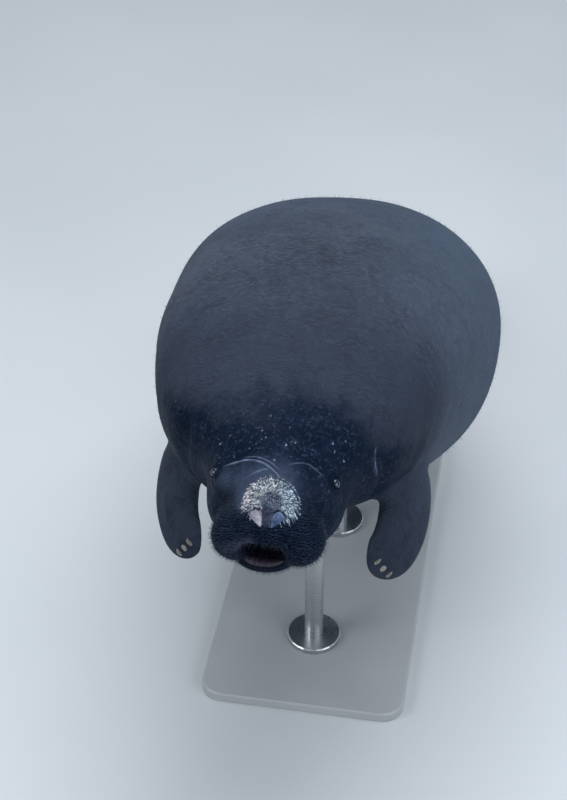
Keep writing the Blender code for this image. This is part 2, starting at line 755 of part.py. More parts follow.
def make_flipper(side):
    """Arm, hand and three nails on one side."""
    word = "left" if side > 0 else "right"
    half = GAP / 2 / FLIPPER_LENGTH
    stations = np.linspace(0.0, WRIST - half, ARM_RINGS)
    arm = loft(f"flipper_{word}_arm", [flipper_ring(s, side) for s in stations])
    boolean(arm, body_shell(), "DIFFERENCE")
    finish(arm, SKIN, 0.6)
    u = np.linspace(0.0, 1.0, HAND_RINGS)
    stations = WRIST + half + (1.0 - WRIST - half) * np.sin(u * math.pi / 2)
    rings = [flipper_ring(s, side) for s in stations[:-1]]
    hand = loft(f"flipper_{word}_hand", rings, end_point=tuple(flipper_frame(1.0, side)[0]))
    for number, place in enumerate(NAIL_PLACES, 1):
        spot = nail_placement(side, place)
        boolean(hand, ball_object("bed", spot, grown(NAIL_RADII), 5, 8), "DIFFERENCE")
        nail = ball_object(f"nail_{word}_{number}", spot, NAIL_RADII, 5, 8)
        finish(nail, NAIL, 0.35)
    finish(hand, SKIN, 0.6)


# Stand
def rounded_plate(name, length, width, corner, bottom, top):
    """A flat plate with round corners and a small bevel, its long side along Y."""
    points = []
    for quarter in range(4):
        sign_x = (1, -1, -1, 1)[quarter]
        sign_y = (1, 1, -1, -1)[quarter]
        for k in range(7):
            a = math.pi / 2 * (quarter + k / 6.0)
            x = sign_x * (width / 2 - corner) + corner * math.cos(a)
            y = sign_y * (length / 2 - corner) + corner * math.sin(a)
            points.append((x, y))
    rings = []
    for inset, z in ((BASE_EDGE, bottom), (0.0, bottom + BASE_EDGE), (0.0, top - BASE_EDGE), (BASE_EDGE, top)):
        scale_x = 1.0 - 2.0 * inset / width
        scale_y = 1.0 - 2.0 * inset / length
        rings.append([(x * scale_x, y * scale_y, z) for x, y in points])
    return loft(name, rings)


def belly_point(station):
    """World point on the belly's midline, and the direction straight out of it."""
    _, _, depth, _ = section_sizes(station)
    near = np.array([[0.0, station - 0.01, -float(section_sizes(station - 0.01)[2])],
                     [0.0, station, -float(depth)],
                     [0.0, station + 0.01, -float(section_sizes(station + 0.01)[2])]])
    points = world(near)
    run = Vector(points[2] - points[0]).normalized()
    out = Vector((1.0, 0.0, 0.0)).cross(run).normalized()
    if out.z > 0:
        out = -out
    return Vector(points[1]), out


def turned(name, profile, place):
    """A round piece from its profile of radii and heights, on its own axis."""
    rings = []
    for radius, height in profile:
        ring = []
        for k in range(ROD_SIDES):
            a = 2.0 * math.pi * k / ROD_SIDES
            ring.append(place @ Vector((radius * math.cos(a), radius * math.sin(a), height)))
        rings.append(ring)
    return loft(name, rings)


def make_rod(name, station):
    """A foot, a rod on it, and the tilted saddle that the rod carries under the belly."""
    spot, out = belly_point(station)
    turn = out.to_track_quat("Z", "Y").to_matrix().to_4x4()
    profile = (
        (SADDLE_RADIUS, -SADDLE_RISE),
        (SADDLE_RADIUS, SADDLE_DEPTH - SADDLE_BEVEL),
        (SADDLE_RADIUS - SADDLE_BEVEL, SADDLE_DEPTH),
    )
    saddle = turned(f"stand_saddle_{name}", profile, Matrix.Translation(spot) @ turn)
    boolean(saddle, body_shell(), "DIFFERENCE")
    finish(saddle, STAND_GREY, 0.45)

    under = spot + out * (SADDLE_DEPTH + GAP)
    bottom = BASE_THICKNESS + GAP
    top = bottom + FOOT_THICKNESS
    axis = Matrix.Translation((under.x, under.y, 0.0))
    profile = ((FOOT_RADIUS, bottom), (FOOT_RADIUS, top - FOOT_BEVEL), (FOOT_RADIUS - FOOT_BEVEL, top))
    finish(turned(f"stand_foot_{name}", profile, axis), STEEL, 0.3, 1.0)
    profile = ((ROD_RADIUS, top + GAP), (ROD_RADIUS, under.z + SADDLE_RADIUS))
    rod = turned(f"stand_rod_{name}", profile, axis)
    slice_off(rod, under, -out)
    finish(rod, STEEL, 0.3, 1.0)


def make_stand():
    """Base, and two rods with their feet and saddles."""
    base = rounded_plate("stand_base", BASE_LENGTH, BASE_WIDTH, BASE_CORNER, 0.0, BASE_THICKNESS)
    finish(base, STAND_GREY, 0.45)
    make_rod("front", FRONT_ROD_STATION)
    make_rod("rear", REAR_ROD_STATION)


def main():
    clear_scene()
    make_head()
    make_body()
    for side in (1, -1):
        make_flipper(side)
    make_stand()


main()
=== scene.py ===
"""Looks for the life-size manatee on its display stand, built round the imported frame.

The animal is described straight first: x to its own left, t back from its snout, z up, in metres.
A spine then bends it into its pose. The skin, the eyes, the pad in the mouth and the nails take
the place of the frame's nodes, the bristles are added, and the stand keeps its own nodes.
"""
import json
import math

import bmesh
import bpy
import numpy as np
from mathutils import Matrix, Vector
from mathutils.bvhtree import BVHTree
from mathutils.kdtree import KDTree

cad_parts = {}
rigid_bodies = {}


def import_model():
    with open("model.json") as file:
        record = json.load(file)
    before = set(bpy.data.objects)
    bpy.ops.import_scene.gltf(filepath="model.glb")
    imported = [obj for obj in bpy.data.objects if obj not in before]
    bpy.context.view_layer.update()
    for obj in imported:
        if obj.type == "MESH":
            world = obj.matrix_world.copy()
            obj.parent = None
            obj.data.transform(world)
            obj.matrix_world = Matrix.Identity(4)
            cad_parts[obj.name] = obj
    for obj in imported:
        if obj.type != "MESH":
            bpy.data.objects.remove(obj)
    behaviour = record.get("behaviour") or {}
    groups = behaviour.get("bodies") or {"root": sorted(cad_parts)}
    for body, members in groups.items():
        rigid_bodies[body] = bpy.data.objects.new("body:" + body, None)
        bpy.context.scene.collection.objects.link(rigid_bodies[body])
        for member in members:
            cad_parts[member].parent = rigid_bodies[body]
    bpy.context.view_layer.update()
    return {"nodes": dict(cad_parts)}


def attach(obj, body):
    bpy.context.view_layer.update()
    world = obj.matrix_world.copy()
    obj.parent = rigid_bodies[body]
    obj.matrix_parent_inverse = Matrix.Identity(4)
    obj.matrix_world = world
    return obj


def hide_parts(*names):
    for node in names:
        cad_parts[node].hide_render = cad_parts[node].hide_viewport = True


# Pose of the spine
LENGTH = 3.0
SPINE_STEPS = 600
HEAD_PITCH = math.radians(-0.75)
HEAD_YAW = math.radians(-2.96)
HEAD_ROLL = math.radians(1.26)
BODY_PITCH = math.radians(27.99)
TAIL_PITCH = math.radians(28.0)
NECK_BEND = (0.28, 0.85)
TAIL_BEND = (1.90, 2.80)
TAIL_CLEARANCE = 0.060

# Body sections, as distance back from the snout, half width, height above the spine, depth below it
BODY_SECTIONS = (
    (0.20, 0.145, 0.104, 0.132),
    (0.34, 0.230, 0.142, 0.200),
    (0.45, 0.288, 0.174, 0.262),
    (0.60, 0.334, 0.224, 0.308),
    (0.80, 0.372, 0.286, 0.342),
    (1.05, 0.408, 0.332, 0.365),
    (1.30, 0.435, 0.350, 0.385),
    (1.55, 0.420, 0.340, 0.370),
    (1.80, 0.365, 0.300, 0.320),
    (2.05, 0.275, 0.235, 0.250),
    (2.25, 0.205, 0.165, 0.170),
    (2.40, 0.205, 0.115, 0.118),
    (2.55, 0.285, 0.078, 0.080),
    (2.70, 0.352, 0.056, 0.056),
    (2.80, 0.370, 0.045, 0.045),
)
PADDLE_START = 2.42
PADDLE_END_START = 2.76
PADDLE_END_POWER = 2.4
BODY_ROUNDNESS = 2.25
PADDLE_ROUNDNESS = 1.75
PADDLE_SHAPING = (2.10, 2.50)
HEAD_CUT = 0.43

# Head, each form as its centre (x, t, z), its radii, and how softly it joins the rest
CRANIUM = ((0.0, 0.300, 0.006), (0.128, 0.200, 0.120), 0.050)
BRIDGE = ((0.0, 0.158, 0.010), (0.093, 0.130, 0.080), 0.040)
NOSE = ((0.0, 0.090, 0.016), (0.078, 0.066, 0.052), 0.030)
CHEEK = ((0.084, 0.235, -0.050), (0.066, 0.110, 0.080), 0.045)
LIP_PAD = ((0.065, 0.081, -0.027), (0.054, 0.057, 0.050), 0.022)
JAW = ((0.0, 0.142, -0.079), (0.072, 0.099, 0.046), 0.026)
EYE_MOUND = ((0.096, 0.197, 0.026), (0.033, 0.044, 0.034), 0.028)
MOUTH_LEAN = -0.006
LOWER_LIP = ((0.0, 0.062, -0.0735), (0.056, 0.034, 0.0155), 0.012)
MOUTH = ((0.0, 0.042, -0.034), (0.050, 0.066, 0.040), 0.012)
NOSTRIL_CENTRE = (0.0240, 0.0485, 0.0635)
NOSTRIL_FACING = (0.10, -0.60, 0.79)
NOSTRIL_RADIUS = 0.0128
NOSTRIL_LEAN = 0.45
NOSTRIL_GROOVE = 0.0026
NOSTRIL_DOME_RISE = 0.0040
NOSTRIL_GROOVE_DEPTH = 0.0070
CLEFT_WIDTH = 0.007
CLEFT_DEPTH = 0.004
HEAD_BLEND = (0.18, 0.40)
HEAD_AXIS_START = 0.20
HEAD_AXIS_HEIGHT = -0.035
HEAD_REACH = 0.34
RAY_STEPS = 70
RAY_HALVINGS = 14

# Folds of the skin
NECK_FOLD_STATION = 0.335
NECK_FOLD_WIDTH = 0.011
NECK_FOLD_DEPTH = 0.008
NECK_FOLD_BOW = 0.35
NECK_RIDGE_LEAD = 0.016
NECK_RIDGE_WIDTH = 0.0024
RIGHT_BROW_FOLD = (
    (-0.018, 0.133), (0.0, 0.1490), (0.030, 0.1690), (0.058, 0.1800), (0.088, 0.1870), (0.115, 0.187),
)
LEFT_BROW_FOLD = ((0.015, 0.160), (0.046, 0.1790), (0.072, 0.1900), (0.091, 0.1870), (0.115, 0.178))
LOW_BROW_FOLD = ((0.010, 0.151), (0.017, 0.1505), (0.045, 0.1425), (0.069, 0.1335), (0.080, 0.128))
BROW_RIDGE_WIDTH = 0.0018
BROW_RIDGE_HEIGHT = 0.0022
BODY_FOLDS = (
    (0.475, 0.0050, 0.020),
    (0.560, 0.0040, 0.024),
    (0.690, 0.0030, 0.030),
    (2.120, 0.0035, 0.030),
    (2.215, 0.0040, 0.026),
    (2.300, 0.0035, 0.024),
)

# The pale scaly patch on the nose, and the bearings between which its rim is split
PATCH_CENTRE = (0.003, 0.0855)
PATCH_RADII = (0.0610, 0.0490)
PATCH_RISE = 0.0018
PATCH_MARGIN = 1.5
PATCH_CORE = (0.006, 0.076)
PATCH_CORE_RADIUS = 0.028
SPLIT_START = (0.05, 0.40)
SPLIT_END = (1.80, 1.40)

# The muzzle's fine rows, in radians to the metre
ROW_WAVE = 1000.0

# The painted sheen on the right upper lip, from its outer end to its inner end
LIP_SHEEN = ((-0.080, 0.034, -0.024), (-0.032, 0.024, 0.009))
LIP_SHEEN_WIDTH = 0.011

# How far the edge of the wet hide wanders to and fro across the head
WET_WANDER = 0.028

# Eyes and the pink pad in the mouth
EYE_STATION = 0.191
EYE_HEIGHT = 0.041
EYE_DEPTH = 0.0058
EYE_FACING = (0.74, -0.30, 0.60)
EYE_RADIUS = 0.0125
LID_RADIUS = 0.0122
LID_WIDTH = 0.0026
LID_RISE = 0.0042
LID_FOLD_RADIUS = 0.0215
LID_FOLD_DEPTH = 0.0022
LID_FOLD_WIDTH = 0.0028
LID_SHAPE = (0.92, 1.08)
EYE_HOLLOW_DEPTH = 0.0045
EYE_HOLLOW_RADIUS = 0.0085
MOUTH_PAD_CENTRE = (MOUTH_LEAN, 0.045, -0.0665)
MOUTH_PAD_RADII = (0.045, 0.012, 0.0090)
PAD_CURVE = (0.006, 0.009)
# Span across the pad, from its middle, over which its painted shade comes in
PAD_SHADOW_SPAN = (-0.024, 0.030)

# Flippers, as the line of the left one from shoulder to tip, with half breadth and half thickness
FLIPPER_LINE = (
    (0.165, 0.690, -0.130, 0.092, 0.066),
    (0.232, 0.655, -0.184, 0.086, 0.058),
    (0.262, 0.612, -0.244, 0.077, 0.044),
    (0.266, 0.552, -0.316, 0.078, 0.032),
    (0.246, 0.492, -0.372, 0.078, 0.024),
    (0.206, 0.428, -0.410, 0.064, 0.016),
)
FLIPPER_TWIST = math.radians(42.0)
HAND_ROUNDING = 0.80
FINGER_SWELL = 0.07
NAIL_PLACES = (-0.46, 0.0, 0.46)
NAIL_STATION = 0.925
NAIL_RADII = (0.0105, 0.0075, 0.0030)

# How finely the skin is made
SKIN_SIDES = 232
COARSE_SIDES = 96
COARSE_FRONT = 60
COARSE_TUBE = 22
RELAX_ROUNDS = 20
RELAX_ZONE = (0.34, 0.28)
FINE_HEAD_RINGS = 166
BODY_STEP = 0.0215
PADDLE_RINGS = 29
FLIPPER_SIDES = 52
FLIPPER_RINGS = 52
REFINE_REACH = 0.027
BROW_REFINE_REACH = 0.016
SEAM_TOUCH = 2e-5
ABOVE_JOINS = 1.3
JOIN_REACH = 0.050
JOIN_WEIGHT = 0.7
JOIN_ROUNDS = 40

# Bristles: most per square metre, least distance apart, length, half thickness, lean and seed
BRISTLE_SETS = {
    "bristles_lips": (70000, 0.0026, 0.0085, 0.00026, 0.70, 3),
    "bristles_muzzle": (50000, 0.0030, 0.0045, 0.00024, 1.10, 5),
    "bristles_mouth": (60000, 0.0027, 0.0125, 0.00032, 0.80, 7),
    "bristles_body": (1100, 0.0160, 0.0150, 0.00026, 1.60, 11),
}
BRISTLE_SIDES = 4
BRISTLE_RINGS = ((-0.15, 1.0, 0.0), (0.35, 0.85, 0.03), (0.70, 0.55, 0.12))
BRISTLE_BEND = 6.0
BRISTLE_DISORDER = 0.28
UNWRAP_PATCH = 0.003

# The frame's nodes that the skin takes the place of, the marks that colour it, and all its marks
SKIN_NODES = (
    "head", "muzzle", "lower_jaw", "neck", "torso_front", "torso_middle", "torso_rear", "tail_stock",
    "tail_paddle", "flipper_left_arm", "flipper_left_hand", "flipper_right_arm", "flipper_right_hand",
)
COLOUR_MARKS = (
    "patch", "patch_core", "rosy", "cool", "ridge", "lids", "septum", "nostril_left", "nostril_right",
    "crescent", "wet", "lip_sheen", "lit_left_flank", "bridge", "forehead", "muzzle", "rows", "mouth",
)
SKIN_MARKS = COLOUR_MARKS + (
    "straight", "unwrap", "spoke", "lie", "grow_lips", "grow_muzzle", "grow_mouth", "grow_body",
)

# Colours of the hide: a pair is blended by a texture, and a layer is a texture, a ramp and a colour
BACK_SHADES = ((0.052, 0.065, 0.089), (0.075, 0.095, 0.132))
BACK_LAYERS = (
    ("mottle", (0.50, 0.72, 0.0, 0.45), (0.080, 0.094, 0.115)),
    ("blotch", (0.47, 0.30, 0.0, 0.50), (0.030, 0.036, 0.050)),
    ("blotch", (0.52, 0.70, 0.0, 0.50), (0.070, 0.073, 0.085)),
    ("wrinkle", (0.46, 0.34, 0.0, 0.38), (0.022, 0.027, 0.039)),
    ("smudge", (0.50, 0.68, 0.0, 0.45), (0.078, 0.087, 0.108)),
    ("net", (0.28, 0.08, 0.0, 0.28), (0.110, 0.124, 0.152)),
)
CRACK_SHADE = (0.019, 0.022, 0.034)
NECK_SHADE = (0.027, 0.034, 0.052)
# Paler further back, and painted light on the left flank
PALE_REAR_AND_LIT_FLANK_SHADE = (0.082, 0.116, 0.166)
HEAD_SHADES = ((0.0018, 0.0068, 0.0170), (0.0050, 0.0128, 0.0280))
HEAD_MOTTLE = (0.010, 0.020, 0.042)
# Painted glints: small bluish flecks of light on the wet pebbly head
FLECK_GLINT_SHADE = (0.031, 0.039, 0.072)
# Painted glints: pale specks of light on the wet forehead
GLINT_SPECK_SHADE = (0.300, 0.350, 0.440)
# Painted sheen: a paler band over the bridge of the nose, standing in for reflected light
BRIDGE_SHEEN_SHADE = (0.043, 0.058, 0.096)
# Painted highlight along the thin ridges over the bridge and beside the left cheek
RIDGE_HIGHLIGHT_SHADE = (0.220, 0.280, 0.420)
LID_SHADE = (0.0024, 0.0050, 0.0130)
MUZZLE_SHADES = ((0.0006, 0.0026, 0.0088), (0.0030, 0.0075, 0.0185))
ROW_SHADE = (0.021, 0.036, 0.066)
# Painted sheen on the right upper lip
SHEEN_SHADE = (0.062, 0.058, 0.098)
# Inside the mouth: the lining's streaks, kept near black as painted shade of the cavity
MOUTH_LINING_AND_SHADOW_SHADES = ((0.005, 0.006, 0.012), (0.023, 0.021, 0.042))
CRUST_SHADES = ((0.290, 0.320, 0.365), (0.600, 0.640, 0.645))
ROSY_SHADE = (0.680, 0.620, 0.680)
COOL_SHADE = (0.420, 0.560, 0.700)
CORE_SHADE = (0.105, 0.138, 0.205)
GAP_SHADES = ((0.040, 0.052, 0.076), (0.014, 0.021, 0.042))
SEPTUM_SHADES = ((0.022, 0.028, 0.050), (0.046, 0.050, 0.082))
# Left nostril's dome: mottled blue with pale flecks, painted reflections of light on the wet dome
LEFT_NOSTRIL_SHADES = ((0.036, 0.055, 0.118), (0.100, 0.135, 0.235))
LEFT_NOSTRIL_GLINT = (0.250, 0.300, 0.440)
RIGHT_NOSTRIL_SHADES = ((0.260, 0.245, 0.310), (0.560, 0.540, 0.600))
# Painted shade in the crescent grooves behind the nostrils
CRESCENT_SHADOW = (0.008, 0.012, 0.022)

# Colours of the other pieces
BRISTLE_SHADES = ((0.006, 0.012, 0.024), (0.044, 0.066, 0.100))
PAD_SHADES = ((0.010, 0.009, 0.017), (0.074, 0.052, 0.074))
# Painted shade over one side of the pad
PAD_SHADOW_SHADE = (0.014, 0.012, 0.022)
EYE_SHADES = ((0.0015, 0.0025, 0.0050), (0.0050, 0.0065, 0.0110))
EYE_SHINE = (0.60, 0.80, 1.0)
NAIL_SHADES = ((0.130, 0.118, 0.100), (0.300, 0.275, 0.235))
PAINT_SHADES = ((0.400, 0.408, 0.416), (0.440, 0.448, 0.456))
FLOOR_SHADES = ((0.600, 0.625, 0.640), (0.640, 0.660, 0.670))

# Lamps, each with its place, what it faces, its size, power and colour
LAMPS = {
    "overhead": ((0.3, 0.3, 6.4), (0.0, -0.3, 0.9), (4.6, 4.0), 265.0, (0.92, 0.96, 1.0)),
    "window": ((-3.4, -2.6, 3.0), (0.0, -0.9, 1.0), (2.2, 2.2), 60.0, (0.95, 0.98, 1.0)),
    "fill": ((3.2, -2.8, 2.0), (0.0, -0.8, 0.9), (2.8, 2.8), 60.0, (0.84, 0.92, 1.0)),
}
SKY_COLOUR = (0.80, 0.88, 1.0, 1.0)
SKY_STRENGTH = 0.50
FLOOR_HALF_SIZE = 150.0

# Camera, fitted to the photograph
PICTURE = (567, 800)
CAMERA_AZIMUTH = math.radians(10.12)
CAMERA_ELEVATION = math.radians(42.18)
CAMERA_DISTANCE = 3.771
CAMERA_FOCAL_PIXELS = 1804.8
CAMERA_AIM = (0.0, 0.15, 0.0)
CAMERA_AIM_PIXEL = (271.95, 505.10)


# Curves
def smooth_step(start, end, value):
    """Rise from 0 at start to 1 at end."""
    u = np.clip((value - start) / (end - start), 0.0, 1.0)
    return u * u * (3.0 - 2.0 * u)


def bell(value, width):
    """A bump of height 1 at zero."""
    return np.exp(-(value / width) ** 2)


def natural_spline(places, values):
    """Return the natural cubic spline through the given values."""
    x = np.asarray(places, float)
    y = np.asarray(values, float)
    step = np.diff(x)
    count = len(x)
    matrix = np.eye(count)
    right = np.zeros(count)
    for i in range(1, count - 1):
        matrix[i, i - 1:i + 2] = step[i - 1], 2.0 * (step[i - 1] + step[i]), step[i]
        right[i] = 6.0 * ((y[i + 1] - y[i]) / step[i] - (y[i] - y[i - 1]) / step[i - 1])
    bending = np.linalg.solve(matrix, right)

    def value(place):
        place = np.asarray(place, float)
        i = np.clip(np.searchsorted(x, place) - 1, 0, count - 2)
        h = step[i]
        a = x[i + 1] - place
        b = place - x[i]
        curve = (bending[i] * a ** 3 + bending[i + 1] * b ** 3) / (6.0 * h)
        line = (y[i] / h - bending[i] * h / 6.0) * a + (y[i + 1] / h - bending[i + 1] * h / 6.0) * b
        return curve + line

    return value


# Spine
def make_spine():
    """Return the spine's stations, points, side, up and tailward directions, snout at zero."""
    t = np.linspace(0.0, LENGTH, SPINE_STEPS + 1)
    neck = smooth_step(*NECK_BEND, t)
    tail = smooth_step(*TAIL_BEND, t)
    pitch = (HEAD_PITCH * (1 - neck) + BODY_PITCH * neck) * (1 - tail) + TAIL_PITCH * tail
    yaw = HEAD_YAW * (1 - neck)
    roll = HEAD_ROLL * (1 - neck)
    along = np.stack([np.sin(yaw) * np.cos(pitch), np.cos(yaw) * np.cos(pitch), -np.sin(pitch)], 1)
    middle = (along[1:] + along[:-1]) / 2.0 * (LENGTH / SPINE_STEPS)
    points = np.concatenate([np.zeros((1, 3)), np.cumsum(middle, 0)])
    level = np.stack([np.cos(yaw), -np.sin(yaw), np.zeros_like(yaw)], 1)
    raised = np.cross(level, along)
    cos_roll = np.cos(roll)[:, None]
    sin_roll = np.sin(roll)[:, None]
    side = level * cos_roll - raised * sin_roll
    up = raised * cos_roll + level * sin_roll
    return t, points, side, up, along


SPINE = make_spine()


def along_spine(field, t):
    """Read one of the spine's vector fields at the stations t."""
    return np.stack([np.interp(t, SPINE[0], field[:, k]) for k in range(3)], -1)


def bend(points):
    """Carry straight points (x, t, z) to the posed body, with the snout's tip at zero."""
    points = np.asarray(points, float)
    x, t, z = points[..., 0], points[..., 1], points[..., 2]
    centre = along_spine(SPINE[1], t) + np.minimum(t, 0.0)[..., None] * SPINE[4][0]
    return centre + x[..., None] * along_spine(SPINE[2], t) + z[..., None] * along_spine(SPINE[3], t)


# Outline of the body
STATIONS, *SIZES = zip(*BODY_SECTIONS)
HALF_WIDTH, HEIGHT, DEPTH = (natural_spline(STATIONS, sizes) for sizes in SIZES)


def section_sizes(t):
    """Half width, height, depth and roundness of the body's section at t."""
    held = np.minimum(t, PADDLE_END_START)
    u = np.clip((t - PADDLE_END_START) / (LENGTH - PADDLE_END_START), 0.0, 1.0)
    end = np.sqrt(np.clip(1.0 - u ** PADDLE_END_POWER, 0.0, 1.0))
    thin = 0.35 + 0.65 * end
    thin = np.where(u >= 1.0, 0.0, thin) * np.clip(end * 6.0, 0.0, 1.0)
    shaping = smooth_step(*PADDLE_SHAPING, t)
    roundness = BODY_ROUNDNESS * (1 - shaping) + PADDLE_ROUNDNESS * shaping
    return HALF_WIDTH(held) * end, HEIGHT(held) * thin, DEPTH(held) * thin, roundness


def body_ring(t, sides, grow=0.0):
    """One straight section of the body, as points (x, t, z)."""
    width, height, depth, roundness = section_sizes(t)
    angle = np.arange(sides) * (2.0 * math.pi / sides)
    c, s = np.cos(angle), np.sin(angle)
    power = 2.0 / roundness
    x = (width + grow) * np.sign(c) * np.abs(c) ** power
    tall = np.where(s > 0, height + grow, depth + grow)
    z = tall * np.sign(s) * np.abs(s) ** power
    return np.stack([x, np.full(sides, float(t)), z], 1)


def balance_station():
    """The world Y, behind the snout, of the body's centre of volume."""
    t = np.linspace(0.05, LENGTH, 200)
    width, height, depth, _ = section_sizes(np.maximum(t, BODY_SECTIONS[0][0]))
    area = width * (height + depth)
    return float(np.sum(area * along_spine(SPINE[1], t)[:, 1]) / np.sum(area))


def lowest_of_tail():
    """The lowest world height that the tail and belly reach, below the snout."""
    stations = np.linspace(HEAD_CUT, LENGTH - 0.01, 240)
    return float(min(bend(body_ring(t, 40))[:, 2].min() for t in stations))


ORIGIN_SHIFT = np.array([-SPINE[1][-1, 0], -balance_station(), TAIL_CLEARANCE - lowest_of_tail()])


def world(points):
    """Carry straight points to their place in the world."""
    return bend(points) + ORIGIN_SHIFT


def world_point(place):
    """Carry one straight point to its place in the world."""
    return Vector(world(np.array([place]))[0])


def straighten(points):
    """Carry world points back to the straight body."""
    place = np.asarray(points, float) - ORIGIN_SHIFT
    t = np.clip(place[:, 1], 0.0, LENGTH)
    for _ in range(30):
        offset = place - along_spine(SPINE[1], t)
        t = np.clip(t + 0.8 * np.sum(offset * along_spine(SPINE[4], t), 1), 0.0, LENGTH)
    offset = place - along_spine(SPINE[1], t)
    ahead = np.minimum(np.sum(offset * SPINE[4][0], 1), 0.0)
    x = np.sum(offset * along_spine(SPINE[2], t), 1)
    z = np.sum(offset * along_spine(SPINE[3], t), 1)
    return np.stack([x, np.where(t <= 0.0, ahead, t), z], 1)


# Head
def ball(points, centre, radii):
    """Signed distance, near enough, to an ellipsoid."""
    radii = np.asarray(radii)
    q = (points - np.asarray(centre)) / radii
    near = np.linalg.norm(q, axis=-1)
    slope = np.linalg.norm(q / radii, axis=-1)
    return near * (near - 1.0) / np.maximum(slope, 1e-9)


def soft_join(first, second, softness):
    """Smooth union of two distances."""
    h = np.clip(0.5 + 0.5 * (second - first) / softness, 0.0, 1.0)
    return second * (1 - h) + first * h - softness * h * (1 - h)


def soft_cut(first, second, softness):
    """Smooth difference: the first less the second."""
    return -soft_join(-first, second, softness)


def body_distance(points):
    """Distance, near enough, to the body's straight outline behind the head."""
    t = points[..., 1]
    width, height, depth, roundness = section_sizes(np.maximum(t, BODY_SECTIONS[0][0]))
    tall = np.where(points[..., 2] > 0, height, depth)
    x = np.abs(points[..., 0]) / width
    z = np.abs(points[..., 2]) / tall
    flat = (x ** roundness + z ** roundness) ** (1.0 / roundness) - 1.0
    return flat * np.minimum(width, (height + depth) / 2.0)


def nostril_place(points):
    """Distance out from a drop-shaped nostril, place up and across it, and nearness to its plane."""
    facing = np.asarray(NOSTRIL_FACING)
    offset = points - np.asarray(NOSTRIL_CENTRE)
    lifted = offset @ facing
    flat = offset - lifted[..., None] * facing
    back = np.array([0.0, 1.0, 0.0]) - facing[1] * facing
    back /= np.linalg.norm(back)
    upward = flat @ back
    front = np.minimum(upward, 0.0)
    beside = flat @ np.cross(back, facing) - NOSTRIL_LEAN * front
    narrow = 1.0 - 0.62 * np.clip(-front / (1.9 * NOSTRIL_RADIUS), 0.0, 1.0)
    away = np.hypot(beside / narrow, upward - 0.45 * front)
    near = smooth_step(3.0 * NOSTRIL_RADIUS, 2.0 * NOSTRIL_RADIUS, np.abs(lifted))
    return away, upward, beside, near


def nostril_shape(points):
    """Height to add for a closed nostril: a dome within a crescent groove."""
    away, upward, _, near = nostril_place(points)
    dome = NOSTRIL_DOME_RISE * np.exp(-(away / (0.70 * NOSTRIL_RADIUS)) ** 4)
    groove = bell(away - NOSTRIL_RADIUS, NOSTRIL_GROOVE)
    behind = smooth_step(-0.9 * NOSTRIL_RADIUS, 0.6 * NOSTRIL_RADIUS, upward)
    return near * (dome - NOSTRIL_GROOVE_DEPTH * groove * behind)


def behind_cheek(points):
    """How far behind the bowed line of the neck's crease each point lies."""
    return points[..., 1] - NECK_FOLD_STATION - NECK_FOLD_BOW * np.hypot(points[..., 2], 0.03)


def neck_fold(points):
    """Depth of the crease that runs round each side of the head behind the cheek."""
    behind = behind_cheek(points)
    sides = smooth_step(0.05, 0.17, points[..., 0])
    crease = bell(behind, NECK_FOLD_WIDTH)
    roll = 0.5 * bell(behind + 2.2 * NECK_FOLD_WIDTH, 1.6 * NECK_FOLD_WIDTH)
    return NECK_FOLD_DEPTH * sides * (crease - roll)


BROW_LINES = [natural_spline(*zip(*fold)) for fold in (RIGHT_BROW_FOLD, LEFT_BROW_FOLD, LOW_BROW_FOLD)]


def brow_ridges(points):
    """Heights, from 0 to 1, of the thin ridges of skin over the bridge of the nose."""
    x, t, z = points[..., 0], points[..., 1], points[..., 2]
    top = smooth_step(0.020, 0.050, z)
    out = np.clip(-x, RIGHT_BROW_FOLD[0][0], RIGHT_BROW_FOLD[-1][0])
    behind = t - BROW_LINES[0](out)
    reach = smooth_step(0.115, 0.080, -x) * smooth_step(-0.018, -0.010, -x)
    main = bell(behind, BROW_RIDGE_WIDTH) * reach
    shift = 0.0125 - 0.09 * np.clip(-x, 0.0, 0.1)
    second = 0.7 * bell(behind - shift, 0.7 * BROW_RIDGE_WIDTH) * smooth_step(0.070, 0.045, -x)
    second = second * smooth_step(-0.020, -0.010, -x)
    out = np.clip(x, LEFT_BROW_FOLD[0][0], LEFT_BROW_FOLD[-1][0])
    left = 0.30 * bell(t - BROW_LINES[1](out), BROW_RIDGE_WIDTH)
    left = left * smooth_step(0.022, 0.045, x) * smooth_step(0.110, 0.085, x)
    out = np.clip(-x, LOW_BROW_FOLD[0][0], LOW_BROW_FOLD[-1][0])
    low = 0.6 * bell(t - BROW_LINES[2](out), 1.2 * BROW_RIDGE_WIDTH)
    low = low * (0.35 + 0.65 * smooth_step(0.040, 0.026, -x)) * smooth_step(0.070, 0.040, -x)
    low = low * smooth_step(0.010, 0.016, -x)
    return np.stack([main, second, left, low], -1) * top[..., None]


def brow_fold(points):
    """Depth of the folds over the bridge: less than none on the ridges, more in front of them."""
    ahead = brow_ridges(points + (0.0, 2.4 * BROW_RIDGE_WIDTH, 0.0)).sum(-1)
    return BROW_RIDGE_HEIGHT * (0.5 * ahead - brow_ridges(points).sum(-1))


def neck_ridge(points):
    """The thin raised line of skin beside the left cheek, from 0 to 1."""
    behind = behind_cheek(points) + NECK_RIDGE_LEAD
    height = points[..., 2] + 0.020
    return bell(behind, NECK_RIDGE_WIDTH) * smooth_step(0.05, 0.03, np.abs(height)) * (points[..., 0] > 0.1)


def patch_place(points):
    """How far out on the pale patch each point lies, 1 at its rim."""
    across = (points[..., 0] - PATCH_CENTRE[0]) / PATCH_RADII[0]
    along = (points[..., 1] - PATCH_CENTRE[1]) / PATCH_RADII[1]
    return np.hypot(across, along)


